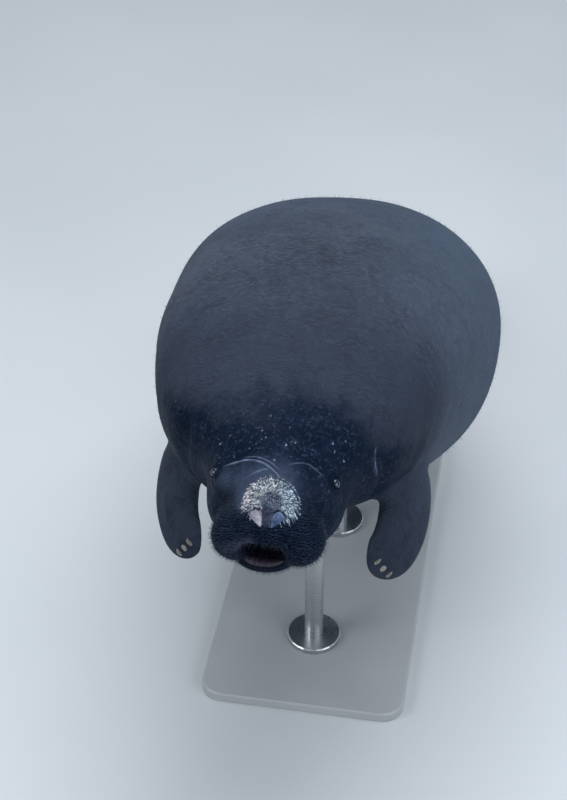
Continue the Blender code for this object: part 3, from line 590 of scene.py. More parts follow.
def patch_rise(points):
    """Height of the crust of scales on the nose, thickest at its rim."""
    out = patch_place(points)
    top = smooth_step(0.025, 0.045, points[..., 2])
    crust = smooth_step(1.03, 0.93, out) * (0.5 + 0.5 * smooth_step(0.45, 0.80, out))
    bare = bell(points[..., 0] + 0.002, 0.011) * smooth_step(0.085, 0.065, points[..., 1])
    return PATCH_RISE * top * crust * (1.0 - bare)


EYE_AIM = np.asarray(EYE_FACING) / np.linalg.norm(EYE_FACING)


def eye_centre():
    """Straight place of the middle of the left eye's opening."""
    start = np.array([[0.0, EYE_STATION, EYE_HEIGHT]])
    return outermost(start, np.array([[1.0, 0.0, 0.0]]), HEAD_REACH, bare_head)[0]


def lid_shape(points):
    """Height to add round an eye: the thick lid, the fold round it and the hollow under the ball."""
    offset = points - EYE_PLACE
    lifted = offset @ EYE_AIM
    flat = offset - lifted[..., None] * EYE_AIM
    away = np.hypot(np.hypot(flat[..., 0], flat[..., 1]) * LID_SHAPE[0], flat[..., 2] * LID_SHAPE[1])
    near = smooth_step(0.05, 0.03, np.abs(lifted))
    lid = LID_RISE * bell(away - LID_RADIUS, LID_WIDTH)
    fold = LID_FOLD_DEPTH * bell(away - LID_FOLD_RADIUS, LID_FOLD_WIDTH)
    hollow = EYE_HOLLOW_DEPTH * np.exp(-(away / EYE_HOLLOW_RADIUS) ** 4)
    return near * (lid - fold - hollow)


def bare_head(points):
    """Distance, near enough, to the surface of the straight head without its eyes."""
    mirrored = np.array(points)
    mirrored[..., 0] = np.abs(mirrored[..., 0])
    shape = ball(mirrored, *CRANIUM[:2])
    for centre, radii, softness in (BRIDGE, NOSE, CHEEK, LIP_PAD, JAW, EYE_MOUND):
        shape = soft_join(shape, ball(mirrored, centre, radii), softness)
    leaning = points - np.array([MOUTH_LEAN, 0.0, 0.0])
    shape = soft_cut(shape, ball(leaning, *MOUTH[:2]), MOUTH[2])
    shape = soft_join(shape, ball(leaning, *LOWER_LIP[:2]), LOWER_LIP[2])
    cleft = bell(mirrored[..., 0], CLEFT_WIDTH)
    low_front = smooth_step(0.050, 0.030, mirrored[..., 2]) * smooth_step(0.10, 0.06, mirrored[..., 1])
    above_lip = smooth_step(0.002, 0.018, mirrored[..., 2])
    shape = shape + CLEFT_DEPTH * cleft * low_front * above_lip
    shape = shape - nostril_shape(mirrored)
    blend = smooth_step(*HEAD_BLEND, mirrored[..., 1])
    return shape * (1 - blend) + body_distance(mirrored) * blend + neck_fold(mirrored)


def head_distance(points):
    """Distance, near enough, to the surface of the straight head."""
    mirrored = np.array(points)
    mirrored[..., 0] = np.abs(mirrored[..., 0])
    return bare_head(points) - lid_shape(mirrored) + brow_fold(points) - patch_rise(points)


def outermost(origins, directions, reach, distance):
    """Furthest point along each ray that is still on the surface."""
    steps = np.linspace(0.0, reach, RAY_STEPS)
    found = np.zeros(origins.shape[:-1])
    for k, step in enumerate(steps):
        inside = distance(origins + directions * step) < 0.0
        found = np.where(inside, k, found)
    near = steps[found.astype(int)]
    far = steps[np.minimum(found.astype(int) + 1, len(steps) - 1)]
    for _ in range(RAY_HALVINGS):
        middle = (near + far) / 2.0
        inside = distance(origins + directions * middle[..., None]) < 0.0
        near = np.where(inside, middle, near)
        far = np.where(inside, far, middle)
    return origins + directions * ((near + far) / 2.0)[..., None]


EYE_PLACE = eye_centre()


def settle(points, rounds=2):
    """Move points onto the head's surface along its slope."""
    small = 1e-4
    for _ in range(rounds):
        here = head_distance(points)
        slope = np.stack([head_distance(points + small * axis) - here for axis in np.eye(3)], -1) / small
        size = np.maximum(np.sum(slope * slope, -1), 0.2)
        points = points - np.clip(here / size, -0.01, 0.01)[..., None] * slope
    return points


def relax(rings, tip, rounds):
    """Spread the rings evenly over the surface, into the mouth too, and keep the rear as it is."""
    free = smooth_step(*RELAX_ZONE, rings[..., 1])[..., None] * 0.5
    for _ in range(rounds):
        ahead = np.concatenate([np.broadcast_to(tip, rings[:1].shape), rings[:-1]])
        behind = np.concatenate([rings[1:], rings[-1:]])
        beside = np.roll(rings, 1, 1) + np.roll(rings, -1, 1)
        rings = rings + free * ((ahead + behind + beside) / 4.0 - rings)
        rings = settle(rings)
        tip = settle(rings[0].mean(0)[None, :])
    return rings, tip


def head_rays(t):
    """Start and directions of the rays that find the head's outline at t."""
    start = np.array([0.0, t, HEAD_AXIS_HEIGHT])
    directions = body_ring(t, COARSE_SIDES) - start
    return start, directions / np.linalg.norm(directions, axis=1, keepdims=True)


def coarse_head():
    """Straight rings of the head from the snout back, and the middle of its front."""
    centre, across = head_rays(HEAD_AXIS_START)
    forward = np.array([0.0, -1.0, 0.0])
    rise = np.linspace(0.5 * math.pi, 0.0, COARSE_FRONT + 2)[1:-1]
    origins = [np.broadcast_to(centre, across.shape)] * COARSE_FRONT
    directions = [math.cos(a) * across + math.sin(a) * forward for a in rise]
    for t in np.linspace(HEAD_AXIS_START, HEAD_CUT + 0.01, COARSE_TUBE):
        start, out = head_rays(t)
        origins.append(np.broadcast_to(start, out.shape))
        directions.append(out)
    rings = outermost(np.array(origins), np.array(directions), HEAD_REACH, head_distance)
    tip = outermost(centre[None, :], forward[None, :], HEAD_REACH, head_distance)
    return relax(rings, tip, RELAX_ROUNDS)


def finer(rings, tip):
    """The head's rings again, closer together and with more sides."""
    count, sides, _ = rings.shape
    whole = np.concatenate([np.broadcast_to(tip, rings[:1].shape), rings])
    place = np.linspace(0.0, count, FINE_HEAD_RINGS + 1)[1:]
    low = np.minimum(place.astype(int), count - 1)
    part = (place - low)[:, None, None]
    whole = whole[low] * (1 - part) + whole[low + 1] * part
    turn = np.arange(SKIN_SIDES) * (sides / SKIN_SIDES)
    first = turn.astype(int)
    part = (turn - first)[None, :, None]
    whole = whole[:, first] * (1 - part) + whole[:, (first + 1) % sides] * part
    return relax(settle(whole), tip, 3)


# Skin
def fold_depth(t):
    """How deep the body's cross folds are at t."""
    return sum(depth * float(bell(t - station, width)) for station, depth, width in BODY_FOLDS)


def body_stations():
    """Places of the body's rings behind the head."""
    trunk = np.arange(HEAD_CUT + 0.01 + 0.010, PADDLE_START, BODY_STEP)
    u = np.linspace(0.0, 1.0, PADDLE_RINGS + 1)[:-1]
    paddle = PADDLE_START + (LENGTH - PADDLE_START) * np.sin(u * math.pi / 2) ** 0.95
    return np.concatenate([trunk, paddle])


def unevenness(points):
    """Slow swells of the hide, a few millimetres high."""
    x, t, z = points[:, 0], points[:, 1], points[:, 2]
    swell = np.sin(9.0 * t + 7.0 * x + 1.3) * np.sin(11.0 * z - 6.0 * x + 0.4)
    swell = swell + 0.6 * np.sin(23.0 * t - 13.0 * z) * np.sin(19.0 * x + 5.0 * t + 2.0)
    return 0.0016 * swell * smooth_step(0.42, 0.75, t) * smooth_step(2.9, 2.3, t)


def add_object(name, data):
    """Put a new object into the scene."""
    item = bpy.data.objects.new(name, data)
    bpy.context.scene.collection.objects.link(item)
    return item


def mesh_object(name, points, faces):
    """Make a mesh object with its normals facing out."""
    mesh = bpy.data.meshes.new(name)
    mesh.from_pydata([tuple(p) for p in points], [], faces)
    work = bmesh.new()
    work.from_mesh(mesh)
    bmesh.ops.recalc_face_normals(work, faces=work.faces)
    work.to_mesh(mesh)
    work.free()
    return add_object(name, mesh)


def loft(name, rings, start_point=None, end_point=None):
    """Skin a list of equal rings, each end flat or drawn to a point."""
    sides = len(rings[0])
    points = [p for ring in rings for p in ring]
    faces = []
    for r in range(len(rings) - 1):
        for k in range(sides):
            n = (k + 1) % sides
            faces.append((r * sides + k, r * sides + n, (r + 1) * sides + n, (r + 1) * sides + k))
    last = (len(rings) - 1) * sides
    if start_point is None:
        faces.append(tuple(range(sides - 1, -1, -1)))
    else:
        points.append(start_point)
        tip = len(points) - 1
        faces.extend((tip, (k + 1) % sides, k) for k in range(sides))
    if end_point is None:
        faces.append(tuple(range(last, last + sides)))
    else:
        points.append(end_point)
        tip = len(points) - 1
        faces.extend((tip, last + k, last + (k + 1) % sides) for k in range(sides))
    return mesh_object(name, points, faces)


def read_rows(items, name, width, kind=np.float32):
    """One property of many items of a mesh, as rows of numbers."""
    values = np.empty(len(items) * width, kind)
    items.foreach_get(name, values)
    return values.reshape(-1, width)


def vertex_array(mesh):
    """All vertex places of a mesh as one array."""
    return read_rows(mesh.vertices, "co", 3).astype(float)


def set_vertices(mesh, points):
    """Write all vertex places of a mesh."""
    mesh.vertices.foreach_set("co", np.asarray(points, np.float32).ravel())
    mesh.update()


def refine_around(item, places, reach):
    """Split the faces near the given straight places, so that small forms come out sharp."""
    work = bmesh.new()
    work.from_mesh(item.data)
    chosen = []
    for edge in work.edges:
        middle = (edge.verts[0].co + edge.verts[1].co) / 2.0
        if any((middle - place).length < reach for place in places):
            chosen.append(edge)
    bmesh.ops.subdivide_edges(work, edges=chosen, cuts=1, use_grid_fill=True)
    bmesh.ops.triangulate(work, faces=[f for f in work.faces if len(f.verts) > 4])
    work.to_mesh(item.data)
    work.free()


def brow_places():
    """Places along the two main ridges over the bridge of the nose."""
    right = [Vector((-x, float(BROW_LINES[0](x)), 0.085)) for x in np.linspace(0.0, 0.10, 6)]
    left = [Vector((x, float(BROW_LINES[1](x)), 0.085)) for x in np.linspace(0.02, 0.10, 5)]
    return right + left


def small_form_places():
    """Places of the eyes, nostrils and lips, and over the nose, where the skin has to be finer."""
    eye = Vector(EYE_PLACE)
    nostril = Vector(NOSTRIL_CENTRE)
    places = [eye, nostril, Vector((-eye.x, eye.y, eye.z)), Vector((-nostril.x, nostril.y, nostril.z))]
    for x in (-0.045, -0.025, 0.0, 0.025, 0.045):
        places.append(Vector((x, 0.018 + 6.0 * x * x, 0.004 - 8.0 * x * x)))
    for x in (-0.04, -0.015, 0.015, 0.04):
        places.append(Vector((x, 0.030 + 8.0 * x * x, -0.062 + 8.0 * x * x)))
    for x in (-0.035, 0.0, 0.035):
        for t in (0.055, 0.085, 0.115):
            places.append(Vector((x, t, 0.075 - 0.25 * max(0.0, 0.09 - t))))
    return places


def make_trunk():
    """Head, body and paddle as one closed straight skin, then bent into the pose."""
    rings, tip = finer(*coarse_head())
    rings = list(rings)
    for t in body_stations():
        rings.append(body_ring(t, SKIN_SIDES, grow=-fold_depth(t)))
    skin = loft("skin", rings, tuple(tip[0]), (0.0, LENGTH, 0.0))
    refine_around(skin, small_form_places() + brow_places(), REFINE_REACH)
    refine_around(skin, brow_places(), BROW_REFINE_REACH)
    points = vertex_array(skin.data)
    head = points[:, 1] < HEAD_BLEND[1]
    points[head] = settle(points[head], 3)
    set_vertices(skin.data, points)
    normals = read_rows(skin.data.vertices, "normal", 3)
    points = points + normals * unevenness(points)[:, None]
    set_vertices(skin.data, world(points))
    return skin


def flipper_curves(side):
    """Splines of a flipper's placed line and of its sizes, over its length from 0 to 1."""
    line = np.array(FLIPPER_LINE)
    placed = world(line[:, :3] * (side, 1.0, 1.0))
    steps = np.linalg.norm(np.diff(placed, axis=0), axis=1)
    places = np.concatenate([[0.0], np.cumsum(steps)]) / np.sum(steps)
    values = np.concatenate([placed, line[:, 3:]], 1)
    return [natural_spline(places, values[:, k]) for k in range(5)]


FLIPPERS = {1: flipper_curves(1), -1: flipper_curves(-1)}


def flipper_frame(s, side):
    """Centre, directions of the breadth and of the outer face, and the half sizes at s."""
    curves = FLIPPERS[side]
    here = np.array([curves[k](s) for k in range(3)])
    ahead = np.array([curves[k](s + 1e-3) for k in range(3)])
    run = (ahead - here) / np.linalg.norm(ahead - here)
    out = np.array([side, 0.0, 0.0])
    out = out - run * out.dot(run)
    out /= np.linalg.norm(out)
    broad = np.cross(run, out) * side
    cos_turn = math.cos(FLIPPER_TWIST)
    sin_turn = math.sin(FLIPPER_TWIST)
    outer = out * cos_turn + broad * sin_turn
    breadthwise = broad * cos_turn - out * sin_turn
    u = max(0.0, (s - HAND_ROUNDING) / (1.0 - HAND_ROUNDING))
    end = math.sqrt(max(0.0, 1.0 - u ** 2.2))
    breadth = float(curves[3](s)) * end
    thickness = float(curves[4](s)) * (0.45 + 0.55 * end) * min(1.0, end * 5.0)
    return here, breadthwise, outer, breadth, thickness


def flipper_ring(s, side):
    """One flat section of a flipper, with the faint lengthwise swells of its fingers."""
    centre, broad, out, breadth, thickness = flipper_frame(s, side)
    angle = np.arange(FLIPPER_SIDES) * (2.0 * math.pi / FLIPPER_SIDES)
    fingers = 1.0 + FINGER_SWELL * np.cos(angle * 8.0) * float(smooth_step(0.45, 0.75, s))
    across = np.outer(np.cos(angle) * breadth, broad)
    return centre + across + np.outer(np.sin(angle) * thickness * fingers, out)


def make_flipper(side):
    """A whole flipper from inside the shoulder to its tip."""
    u = np.linspace(0.0, 1.0, FLIPPER_RINGS + 1)[:-1]
    stations = np.sin(u * math.pi / 2) ** 0.9
    rings = [flipper_ring(s, side) for s in stations]
    return loft("flipper", rings, end_point=tuple(flipper_frame(1.0, side)[0]))


def tell_triangles(item):
    """Print a piece's name and its count of triangles."""
    print(item.name, "triangles", sum(len(f.vertices) - 2 for f in item.data.polygons))


def tree_of(item):
    """A search tree of a mesh's surface."""
    work = bmesh.new()
    work.from_mesh(item.data)
    tree = BVHTree.FromBMesh(work)
    work.free()
    return tree


def seam_of(points, body_tree, flipper_trees):
    """Numbers of the points that lie both on the body and on a flipper, where the two were joined."""
    seam = []
    for index, point in enumerate(points):
        if body_tree.find_nearest(Vector(point), SEAM_TOUCH)[0] is None:
            continue
        if any(tree.find_nearest(Vector(point), SEAM_TOUCH)[0] is not None for tree in flipper_trees):
            seam.append(index)
    return seam


def smooth_over(mesh, points, weight, rounds):
    """Draw each point towards the middle of its neighbours, by its own weight."""
    first, second = read_rows(mesh.edges, "vertices", 2, np.int32).T
    links = np.zeros(len(points))
    np.add.at(links, first, 1.0)
    np.add.at(links, second, 1.0)
    for _ in range(rounds):
        total = np.zeros_like(points)
        np.add.at(total, first, points[second])
        np.add.at(total, second, points[first])
        points = points + weight * (total / np.maximum(links, 1.0)[:, None] - points)
    return points


def join_flippers(skin):
    """Join both flippers to the skin, and smooth the skin over the joins."""
    flippers = [make_flipper(side) for side in (1, -1)]
    trees = [tree_of(item) for item in flippers]
    body_tree = tree_of(skin)
    for item in flippers:
        join = skin.modifiers.new("join", "BOOLEAN")
        join.operation = "UNION"
        join.solver = "MANIFOLD"
        join.object = item
    graph = bpy.context.evaluated_depsgraph_get()
    mesh = bpy.data.meshes.new_from_object(skin.evaluated_get(graph))
    skin.modifiers.clear()
    skin.data = mesh
    for item in flippers:
        bpy.data.objects.remove(item, do_unlink=True)
    points = vertex_array(mesh)
    seam = seam_of(points, body_tree, trees)
    finder = KDTree(len(seam))
    for index in seam:
        finder.insert(Vector(points[index]), index)
    finder.balance()
    reach = np.array([finder.find(Vector(p))[2] if p[2] < ABOVE_JOINS else 1.0 for p in points])
    weight = smooth_step(JOIN_REACH, 0.0, reach)[:, None] * JOIN_WEIGHT
    set_vertices(mesh, smooth_over(mesh, points, weight, JOIN_ROUNDS))
    return skin


# Marks on the skin, which its material and the bristles read
def add_mark(mesh, name, values):
    """Store one number for each vertex."""
    mark = mesh.attributes.new(name, "FLOAT", "POINT")
    mark.data.foreach_set("value", np.asarray(values, np.float32))


def add_vector(mesh, name, values):
    """Store one vector for each vertex."""
    mark = mesh.attributes.new(name, "FLOAT_VECTOR", "POINT")
    mark.data.foreach_set("vector", np.asarray(values, np.float32).ravel())


def mark_patch(mesh, straight, top):
    """Mark the pale patch: how far in each point lies, its rows of scales, its tints and its core."""
    x, t, _ = straight.T
    across = x - PATCH_CENTRE[0]
    along = t - PATCH_CENTRE[1]
    patch = patch_place(straight)
    bearing = np.arctan2(along, across)
    corner = smooth_step(*SPLIT_START, bearing) * smooth_step(*SPLIT_END, bearing)
    split = corner * (0.09 * bell(patch - 1.01, 0.026) - 0.34 * bell(patch - 0.925, 0.028))
    add_mark(mesh, "patch", np.clip(PATCH_MARGIN - patch + split, 0.0, PATCH_MARGIN) * top)
    spoke = np.stack([bearing * 0.055, 0.5 * np.hypot(across, along), 0.0 * t], 1)
    add_vector(mesh, "spoke", spoke)
    add_mark(mesh, "rosy", smooth_step(-0.015, -0.050, x) * top)
    add_mark(mesh, "cool", smooth_step(0.000, 0.040, x) * top)
    core = np.hypot(x - PATCH_CORE[0], (t - PATCH_CORE[1]) * 0.9)
    add_mark(mesh, "patch_core", bell(core, PATCH_CORE_RADIUS) * top)


def mark_nose(mesh, straight):
    """Mark the bare strip between the nostrils, both nostrils and the crescent grooves behind them, which
    are painted dark as shade.
    """
    x, t, z = straight.T
    wide = 0.0095 + 0.15 * np.clip(t - 0.036, 0.0, 0.05)
    low = smooth_step(0.036, 0.062, z) * smooth_step(0.080, 0.052, t)
    add_mark(mesh, "septum", bell(x + 0.001, wide) * low)
    crescent = np.zeros(len(t))
    for word, side in (("left", 1.0), ("right", -1.0)):
        away, upward, _, near = nostril_place(straight * (side, 1.0, 1.0))
        add_mark(mesh, f"nostril_{word}", near * smooth_step(1.10, 0.85, away / NOSTRIL_RADIUS))
        # The crescents lie in the grooves and are painted dark as shade
        rim = bell(away / NOSTRIL_RADIUS - 1.10, 0.14) * near
        crescent = crescent + rim * smooth_step(0.35 * NOSTRIL_RADIUS, 0.95 * NOSTRIL_RADIUS, upward)
    add_mark(mesh, "crescent", np.clip(crescent, 0.0, 1.0))


def mark_wet(mesh, straight):
    """Mark the dark wet hide of the head, which reaches further back on the low sides."""
    x, t, z = straight.T
    sunk = smooth_step(0.10, -0.06, z + 0.05 * (x > 0.0) * smooth_step(0.0, 0.08, x))
    dry = t - (0.08 - 0.06 * np.tanh(x / 0.05)) * np.abs(x) - 0.17 * sunk
    dry = dry - WET_WANDER * (bell(x - 0.055, 0.045) - bell(x + 0.125, 0.050))
    end = 0.19 + 0.07 * smooth_step(0.06, 0.12, np.abs(x))
    wet = 0.60 * smooth_step(0.405, 0.315, dry) + 0.40 * smooth_step(0.340, end, dry)
    add_mark(mesh, "wet", wet * (1.0 - 0.75 * smooth_step(-0.13, -0.25, z)))


def mark_face(mesh, straight, top):
    """Mark the ridges and the bridge, where highlight and sheen are painted, the lids, forehead, muzzle
    with its rows, and the painted sheen on the right lip.
    """
    x, t, z = straight.T
    # The ridges get a painted highlight in the hide's colour
    ridges = brow_ridges(straight).sum(-1) + 0.8 * neck_ridge(straight)
    add_mark(mesh, "ridge", np.clip(ridges, 0.0, 1.0))
    eye_away = np.linalg.norm(straight * np.sign(x)[:, None] ** (1, 0, 0) - EYE_PLACE, axis=1)
    add_mark(mesh, "lids", smooth_step(0.026, 0.015, eye_away))
    # The sheen on the right upper lip is painted light
    lip_ends = [np.array(end) for end in LIP_SHEEN]
    run = lip_ends[1] - lip_ends[0]
    reach = np.clip((straight - lip_ends[0]) @ run / run.dot(run), 0.0, 1.0)
    gap = np.linalg.norm(straight - lip_ends[0] - reach[:, None] * run, axis=1)
    add_mark(mesh, "lip_sheen", bell(gap, LIP_SHEEN_WIDTH))
    # The bridge gets a painted sheen, weaker towards the left
    bridge = smooth_step(0.045, 0.075, t) * smooth_step(0.20, 0.14, t) * top
    add_mark(mesh, "bridge", bridge * (1.0 - 0.76 * smooth_step(0.025, 0.075, x)))
    add_mark(mesh, "forehead", smooth_step(0.150, 0.185, t) * smooth_step(0.35, 0.23, t) * top)
    add_mark(mesh, "muzzle", smooth_step(0.165, 0.120, t) * smooth_step(0.066, 0.040, z))
    add_mark(mesh, "rows", 0.74 * z + 0.67 * t)


def mark_growth(mesh, straight, inside):
    """Mark where each set of bristles grows; inside is 1 at the rim of the mouth."""
    _, t, z = straight.T
    front = smooth_step(0.150, 0.115, t)
    lips = front * smooth_step(0.020, 0.000, z) * smooth_step(1.02, 1.12, inside)
    around = bell(inside - 1.08, 0.09) * smooth_step(-0.105, -0.085, z) * front
    upper = smooth_step(-0.045, -0.030, z)
    outside_patch = patch_place(straight) > 1.15
    add_mark(mesh, "grow_lips", lips * smooth_step(-0.125, -0.100, z))
    add_mark(mesh, "grow_muzzle", smooth_step(0.175, 0.13, t) * (1.0 - 0.75 * lips) * outside_patch)
    add_mark(mesh, "grow_mouth", around * (0.35 + 0.65 * upper))
    feet = smooth_step(-0.30, -0.40, z) * (t < 0.75)
    add_mark(mesh, "grow_body", smooth_step(0.20, 0.32, t) * smooth_step(2.95, 2.80, t) * (1.0 - feet))


def mark_lie(mesh, straight):
    """Mark which way the bristles lie: down and outwards on the face, tailward behind it."""
    x, t, _ = straight.T
    down = along_spine(SPINE[3], t) * -1.0
    outward = along_spine(SPINE[2], t) * np.sign(x)[:, None]
    back = along_spine(SPINE[4], t)
    face = smooth_step(0.30, 0.18, t)[:, None]
    lie = down * 0.8 + outward * smooth_step(0.0, 0.06, np.abs(x))[:, None] + back * 0.35
    lie = lie * face + back * (1.0 - face)
    add_vector(mesh, "lie", lie / np.linalg.norm(lie, axis=1, keepdims=True))


def mark_skin(skin):
    """Mark the zones of the hide, where bristles grow and which way they lie."""
    mesh = skin.data
    straight = straighten(vertex_array(mesh))
    x, t, z = straight.T
    add_vector(mesh, "straight", straight)
    turn = np.arctan2(z + 0.03, x) / (2.0 * math.pi) + 0.5
    add_vector(mesh, "unwrap", np.stack([turn, t / LENGTH, np.zeros_like(t)], 1))
    top = smooth_step(0.020, 0.040, z)
    mark_patch(mesh, straight, top)
    mark_nose(mesh, straight)
    mark_wet(mesh, straight)
    mark_face(mesh, straight, top)
    # Painted light: the left flank is made paler, as if more light fell on that side
    add_mark(mesh, "lit_left_flank", 0.30 * smooth_step(0.02, 0.32, x) * smooth_step(0.50, 0.75, t))
    centre = np.asarray(MOUTH[0]) + np.array([MOUTH_LEAN, 0.0, 0.0])
    inside = np.linalg.norm((straight - centre) / np.asarray(MOUTH[1]), axis=1)
    add_mark(mesh, "mouth", smooth_step(1.16, 1.03, inside))
    mark_growth(mesh, straight, inside)
    mark_lie(mesh, straight)


# Materials
def connect(tree, sockets, values):
    """Link or set sockets by name or number, where a colour may leave out its alpha."""
    for key, value in values.items():
        socket = sockets[key]
        if isinstance(value, bpy.types.NodeSocket):
            tree.links.new(value, socket)
        elif socket.type == "RGBA":
            socket.default_value = (*value[:3], 1.0)
        else:
            socket.default_value = value


def tree_node(tree, kind, inputs=None, **settings):
    """Add a node, set its options, and link or set its inputs."""
    made = tree.nodes.new(kind)
    for name, value in settings.items():
        setattr(made, name, value)
    connect(tree, made.inputs, inputs or {})
    return made


def linked_node(kind, inputs, **settings):
    """Add a node to the tree that the values linked to it are in."""
    linked = [value for value in inputs.values() if isinstance(value, bpy.types.NodeSocket)]
    return tree_node(linked[0].id_data, kind, inputs, **settings)


def new_material(name, colour, roughness, metallic=0.0):
    """A material with its own Principled shader."""
    material = bpy.data.materials.new(name)
    material.use_nodes = True
    shader = material.node_tree.nodes["Principled BSDF"]
    values = {"Base Color": colour, "Roughness": roughness, "Metallic": metallic}
    connect(material.node_tree, shader.inputs, values)
    return material, material.node_tree, shader


def read_mark(tree, name, output="Fac"):
    """One of the skin's marks, as a number or a vector."""
    return tree_node(tree, "ShaderNodeAttribute", attribute_name=name).outputs[output]


def own_place(tree):
    """The place on a piece that isn't skin."""
    return tree_node(tree, "ShaderNodeTexCoord").outputs["Object"]


def maths(operation, first, second=0.0):
    """One operation on two numbers."""
    return linked_node("ShaderNodeMath", {0: first, 1: second}, operation=operation).outputs[0]


def times(first, second):
    """The product of two numbers."""
    return maths("MULTIPLY", first, second)


def plus(first, second):
    """The sum of two numbers."""
    return maths("ADD", first, second)


def minus(first, second):
    """The first number less the second."""
    return maths("SUBTRACT", first, second)


def scaled(vector, factor):
    """A vector times a number."""
    inputs = {0: vector, "Scale": factor}
    return linked_node("ShaderNodeVectorMath", inputs, operation="SCALE").outputs[0]


def added(first, second):
    """The sum of two vectors."""
    return linked_node("ShaderNodeVectorMath", {0: first, 1: second}).outputs[0]


def spread(value, low, high, to_low=0.0, to_high=1.0):
    """A value carried smoothly from one range to another."""
    inputs = {"Value": value, "From Min": low, "From Max": high, "To Min": to_low, "To Max": to_high}
    return linked_node("ShaderNodeMapRange", inputs, interpolation_type="SMOOTHSTEP").outputs[0]


def stretch(vector, scale):
    """A place stretched along its three axes."""
    return linked_node("ShaderNodeMapping", {"Vector": vector, "Scale": scale}).outputs[0]


def noise(vector, scale, detail=3.0, roughness=0.5, distortion=0.0):
    """Cloudy values from 0 to 1."""
    inputs = {"Vector": vector, "Scale": scale, "Detail": detail}
    inputs.update({"Roughness": roughness, "Distortion": distortion})
    return linked_node("ShaderNodeTexNoise", inputs).outputs[0]


def unsettle(vector, place, scale, amount):
    """A vector moved about by a cloudy field, which is read at a place."""
    inputs = {"Vector": place, "Scale": scale, "Detail": 2.0}
    cloud = linked_node("ShaderNodeTexNoise", inputs).outputs[1]
    return added(vector, scaled(added(cloud, (-0.5, -0.5, -0.5)), amount))


def cells(vector, scale, feature="F1"):
    """Distances inside a field of cells."""
    inputs = {"Vector": vector, "Scale": scale}
    return linked_node("ShaderNodeTexVoronoi", inputs, feature=feature).outputs["Distance"]


def spots(vector, scale, radius, share):
    """Small spots, one in each of a share of the cells of a field."""
    made = linked_node("ShaderNodeTexVoronoi", {"Vector": vector, "Scale": scale})
    spot = spread(made.outputs["Distance"], radius, 0.5 * radius)
    chance = linked_node("ShaderNodeSeparateColor", {0: made.outputs["Color"]}).outputs[0]
    return times(spot, spread(chance, 1.0 - share, 1.02 - share))


def blend(factor, first, second):
    """Mix two colours."""
    inputs = {0: factor, 6: first, 7: second}
    return linked_node("ShaderNodeMix", inputs, data_type="RGBA").outputs[2]


def bump(height, strength, distance):
    """The normal of a fine relief."""
    inputs = {"Strength": strength, "Distance": distance, "Height": height}
    return linked_node("ShaderNodeBump", inputs).outputs[0]


def hide_textures(tree):
    """The marks, the place on the straight body and the textures that the hide is made of, by name."""
    marks = {name: read_mark(tree, name) for name in COLOUR_MARKS}
    place = read_mark(tree, "straight", "Vector")
    wet = marks["wet"]
    blotch = noise(place, 15.0, 5.0, 0.65, 0.4)
    loose_place = unsettle(place, place, 26.0, 0.030)
    net = cells(stretch(loose_place, (66.0, 205.0, 66.0)), 1.0)
    crack = times(spread(net, 0.25, 0.75), spread(blotch, 0.30, 0.65, 0.35, 1.0))
    edge = plus(wet, spread(blotch, 0.3, 0.7, -0.20, 0.20))
    return marks | {
        "place": place, "loose_place": loose_place, "blotch": blotch, "net": net,
        "crack": times(crack, spread(wet, 0.0, 1.0, 1.0, 0.45)),
        "edge": spread(edge, 0.05, 0.95),
        "cloud": noise(place, 3.2, 4.0, 0.6),
        "mottle": noise(place, 48.0, 4.0, 0.65),
        "fine": noise(place, 130.0, 3.0, 0.6),
        "wrinkle": noise(stretch(place, (26.0, 88.0, 26.0)), 1.0, 4.0, 0.6, 0.8),
        "smudge": noise(stretch(place, (5.0, 9.0, 5.0)), 1.0, 4.0, 0.6, 0.5),
    }


def back_colour(hide):
    """Dry grey hide with soft stains, fine wrinkles and cracks, dark at the neck, paler behind, and with
    painted light on the left flank.
    """
    colour = blend(spread(hide["cloud"], 0.35, 0.65), *BACK_SHADES)
    for texture, ramp, shade in BACK_LAYERS:
        colour = blend(spread(hide[texture], *ramp), colour, shade)
    colour = blend(times(hide["crack"], 0.60), colour, CRACK_SHADE)
    station = linked_node("ShaderNodeSeparateXYZ", {0: hide["place"]}).outputs[1]
    colour = blend(spread(station, 0.85, 0.42, 0.0, 0.80), colour, NECK_SHADE)
    # Paler further back, and painted light on the left flank
    paler_and_lit = plus(spread(station, 0.70, 1.40, 0.0, 0.36), hide["lit_left_flank"])
    return blend(paler_and_lit, colour, PALE_REAR_AND_LIT_FLANK_SHADE)


def head_colour(hide):
    """Dark wet hide with small bluish flecks, painted as glints of light on its wet pebbly skin."""
    colour = blend(spread(hide["blotch"], 0.35, 0.70), *HEAD_SHADES)
    colour = blend(spread(hide["mottle"], 0.52, 0.68, 0.0, 0.35), colour, HEAD_MOTTLE)
    # Painted glints: small bluish flecks of light on the wet head
    fleck = spread(hide["fine"], 0.49, 0.65, 0.0, 0.72)
    fleck = times(fleck, spread(hide["mottle"], 0.40, 0.58, 0.2, 1.0))
    return blend(fleck, colour, FLECK_GLINT_SHADE)


def muzzle_rows(hide):
    """Thin broken rows across the muzzle, from 0 to 1."""
    row = plus(hide["rows"], spread(hide["mottle"], 0.2, 0.8, -0.005, 0.005))
    row = maths("SINE", times(row, ROW_WAVE))
    broken = spread(hide["blotch"], 0.35, 0.60, 0.25, 1.0)
    return times(spread(row, 0.10, 0.95), broken)


def muzzle_colour(hide, rows):
    """Near black lips with paler rows, and the painted sheen on the right one."""
    colour = blend(spread(hide["fine"], 0.42, 0.66), *MUZZLE_SHADES)
    colour = blend(times(rows, 0.90), colour, ROW_SHADE)
    # Painted sheen on the right upper lip
    sheen = times(hide["lip_sheen"], spread(hide["fine"], 0.35, 0.60, 0.40, 1.00))
    return blend(sheen, colour, SHEEN_SHADE)


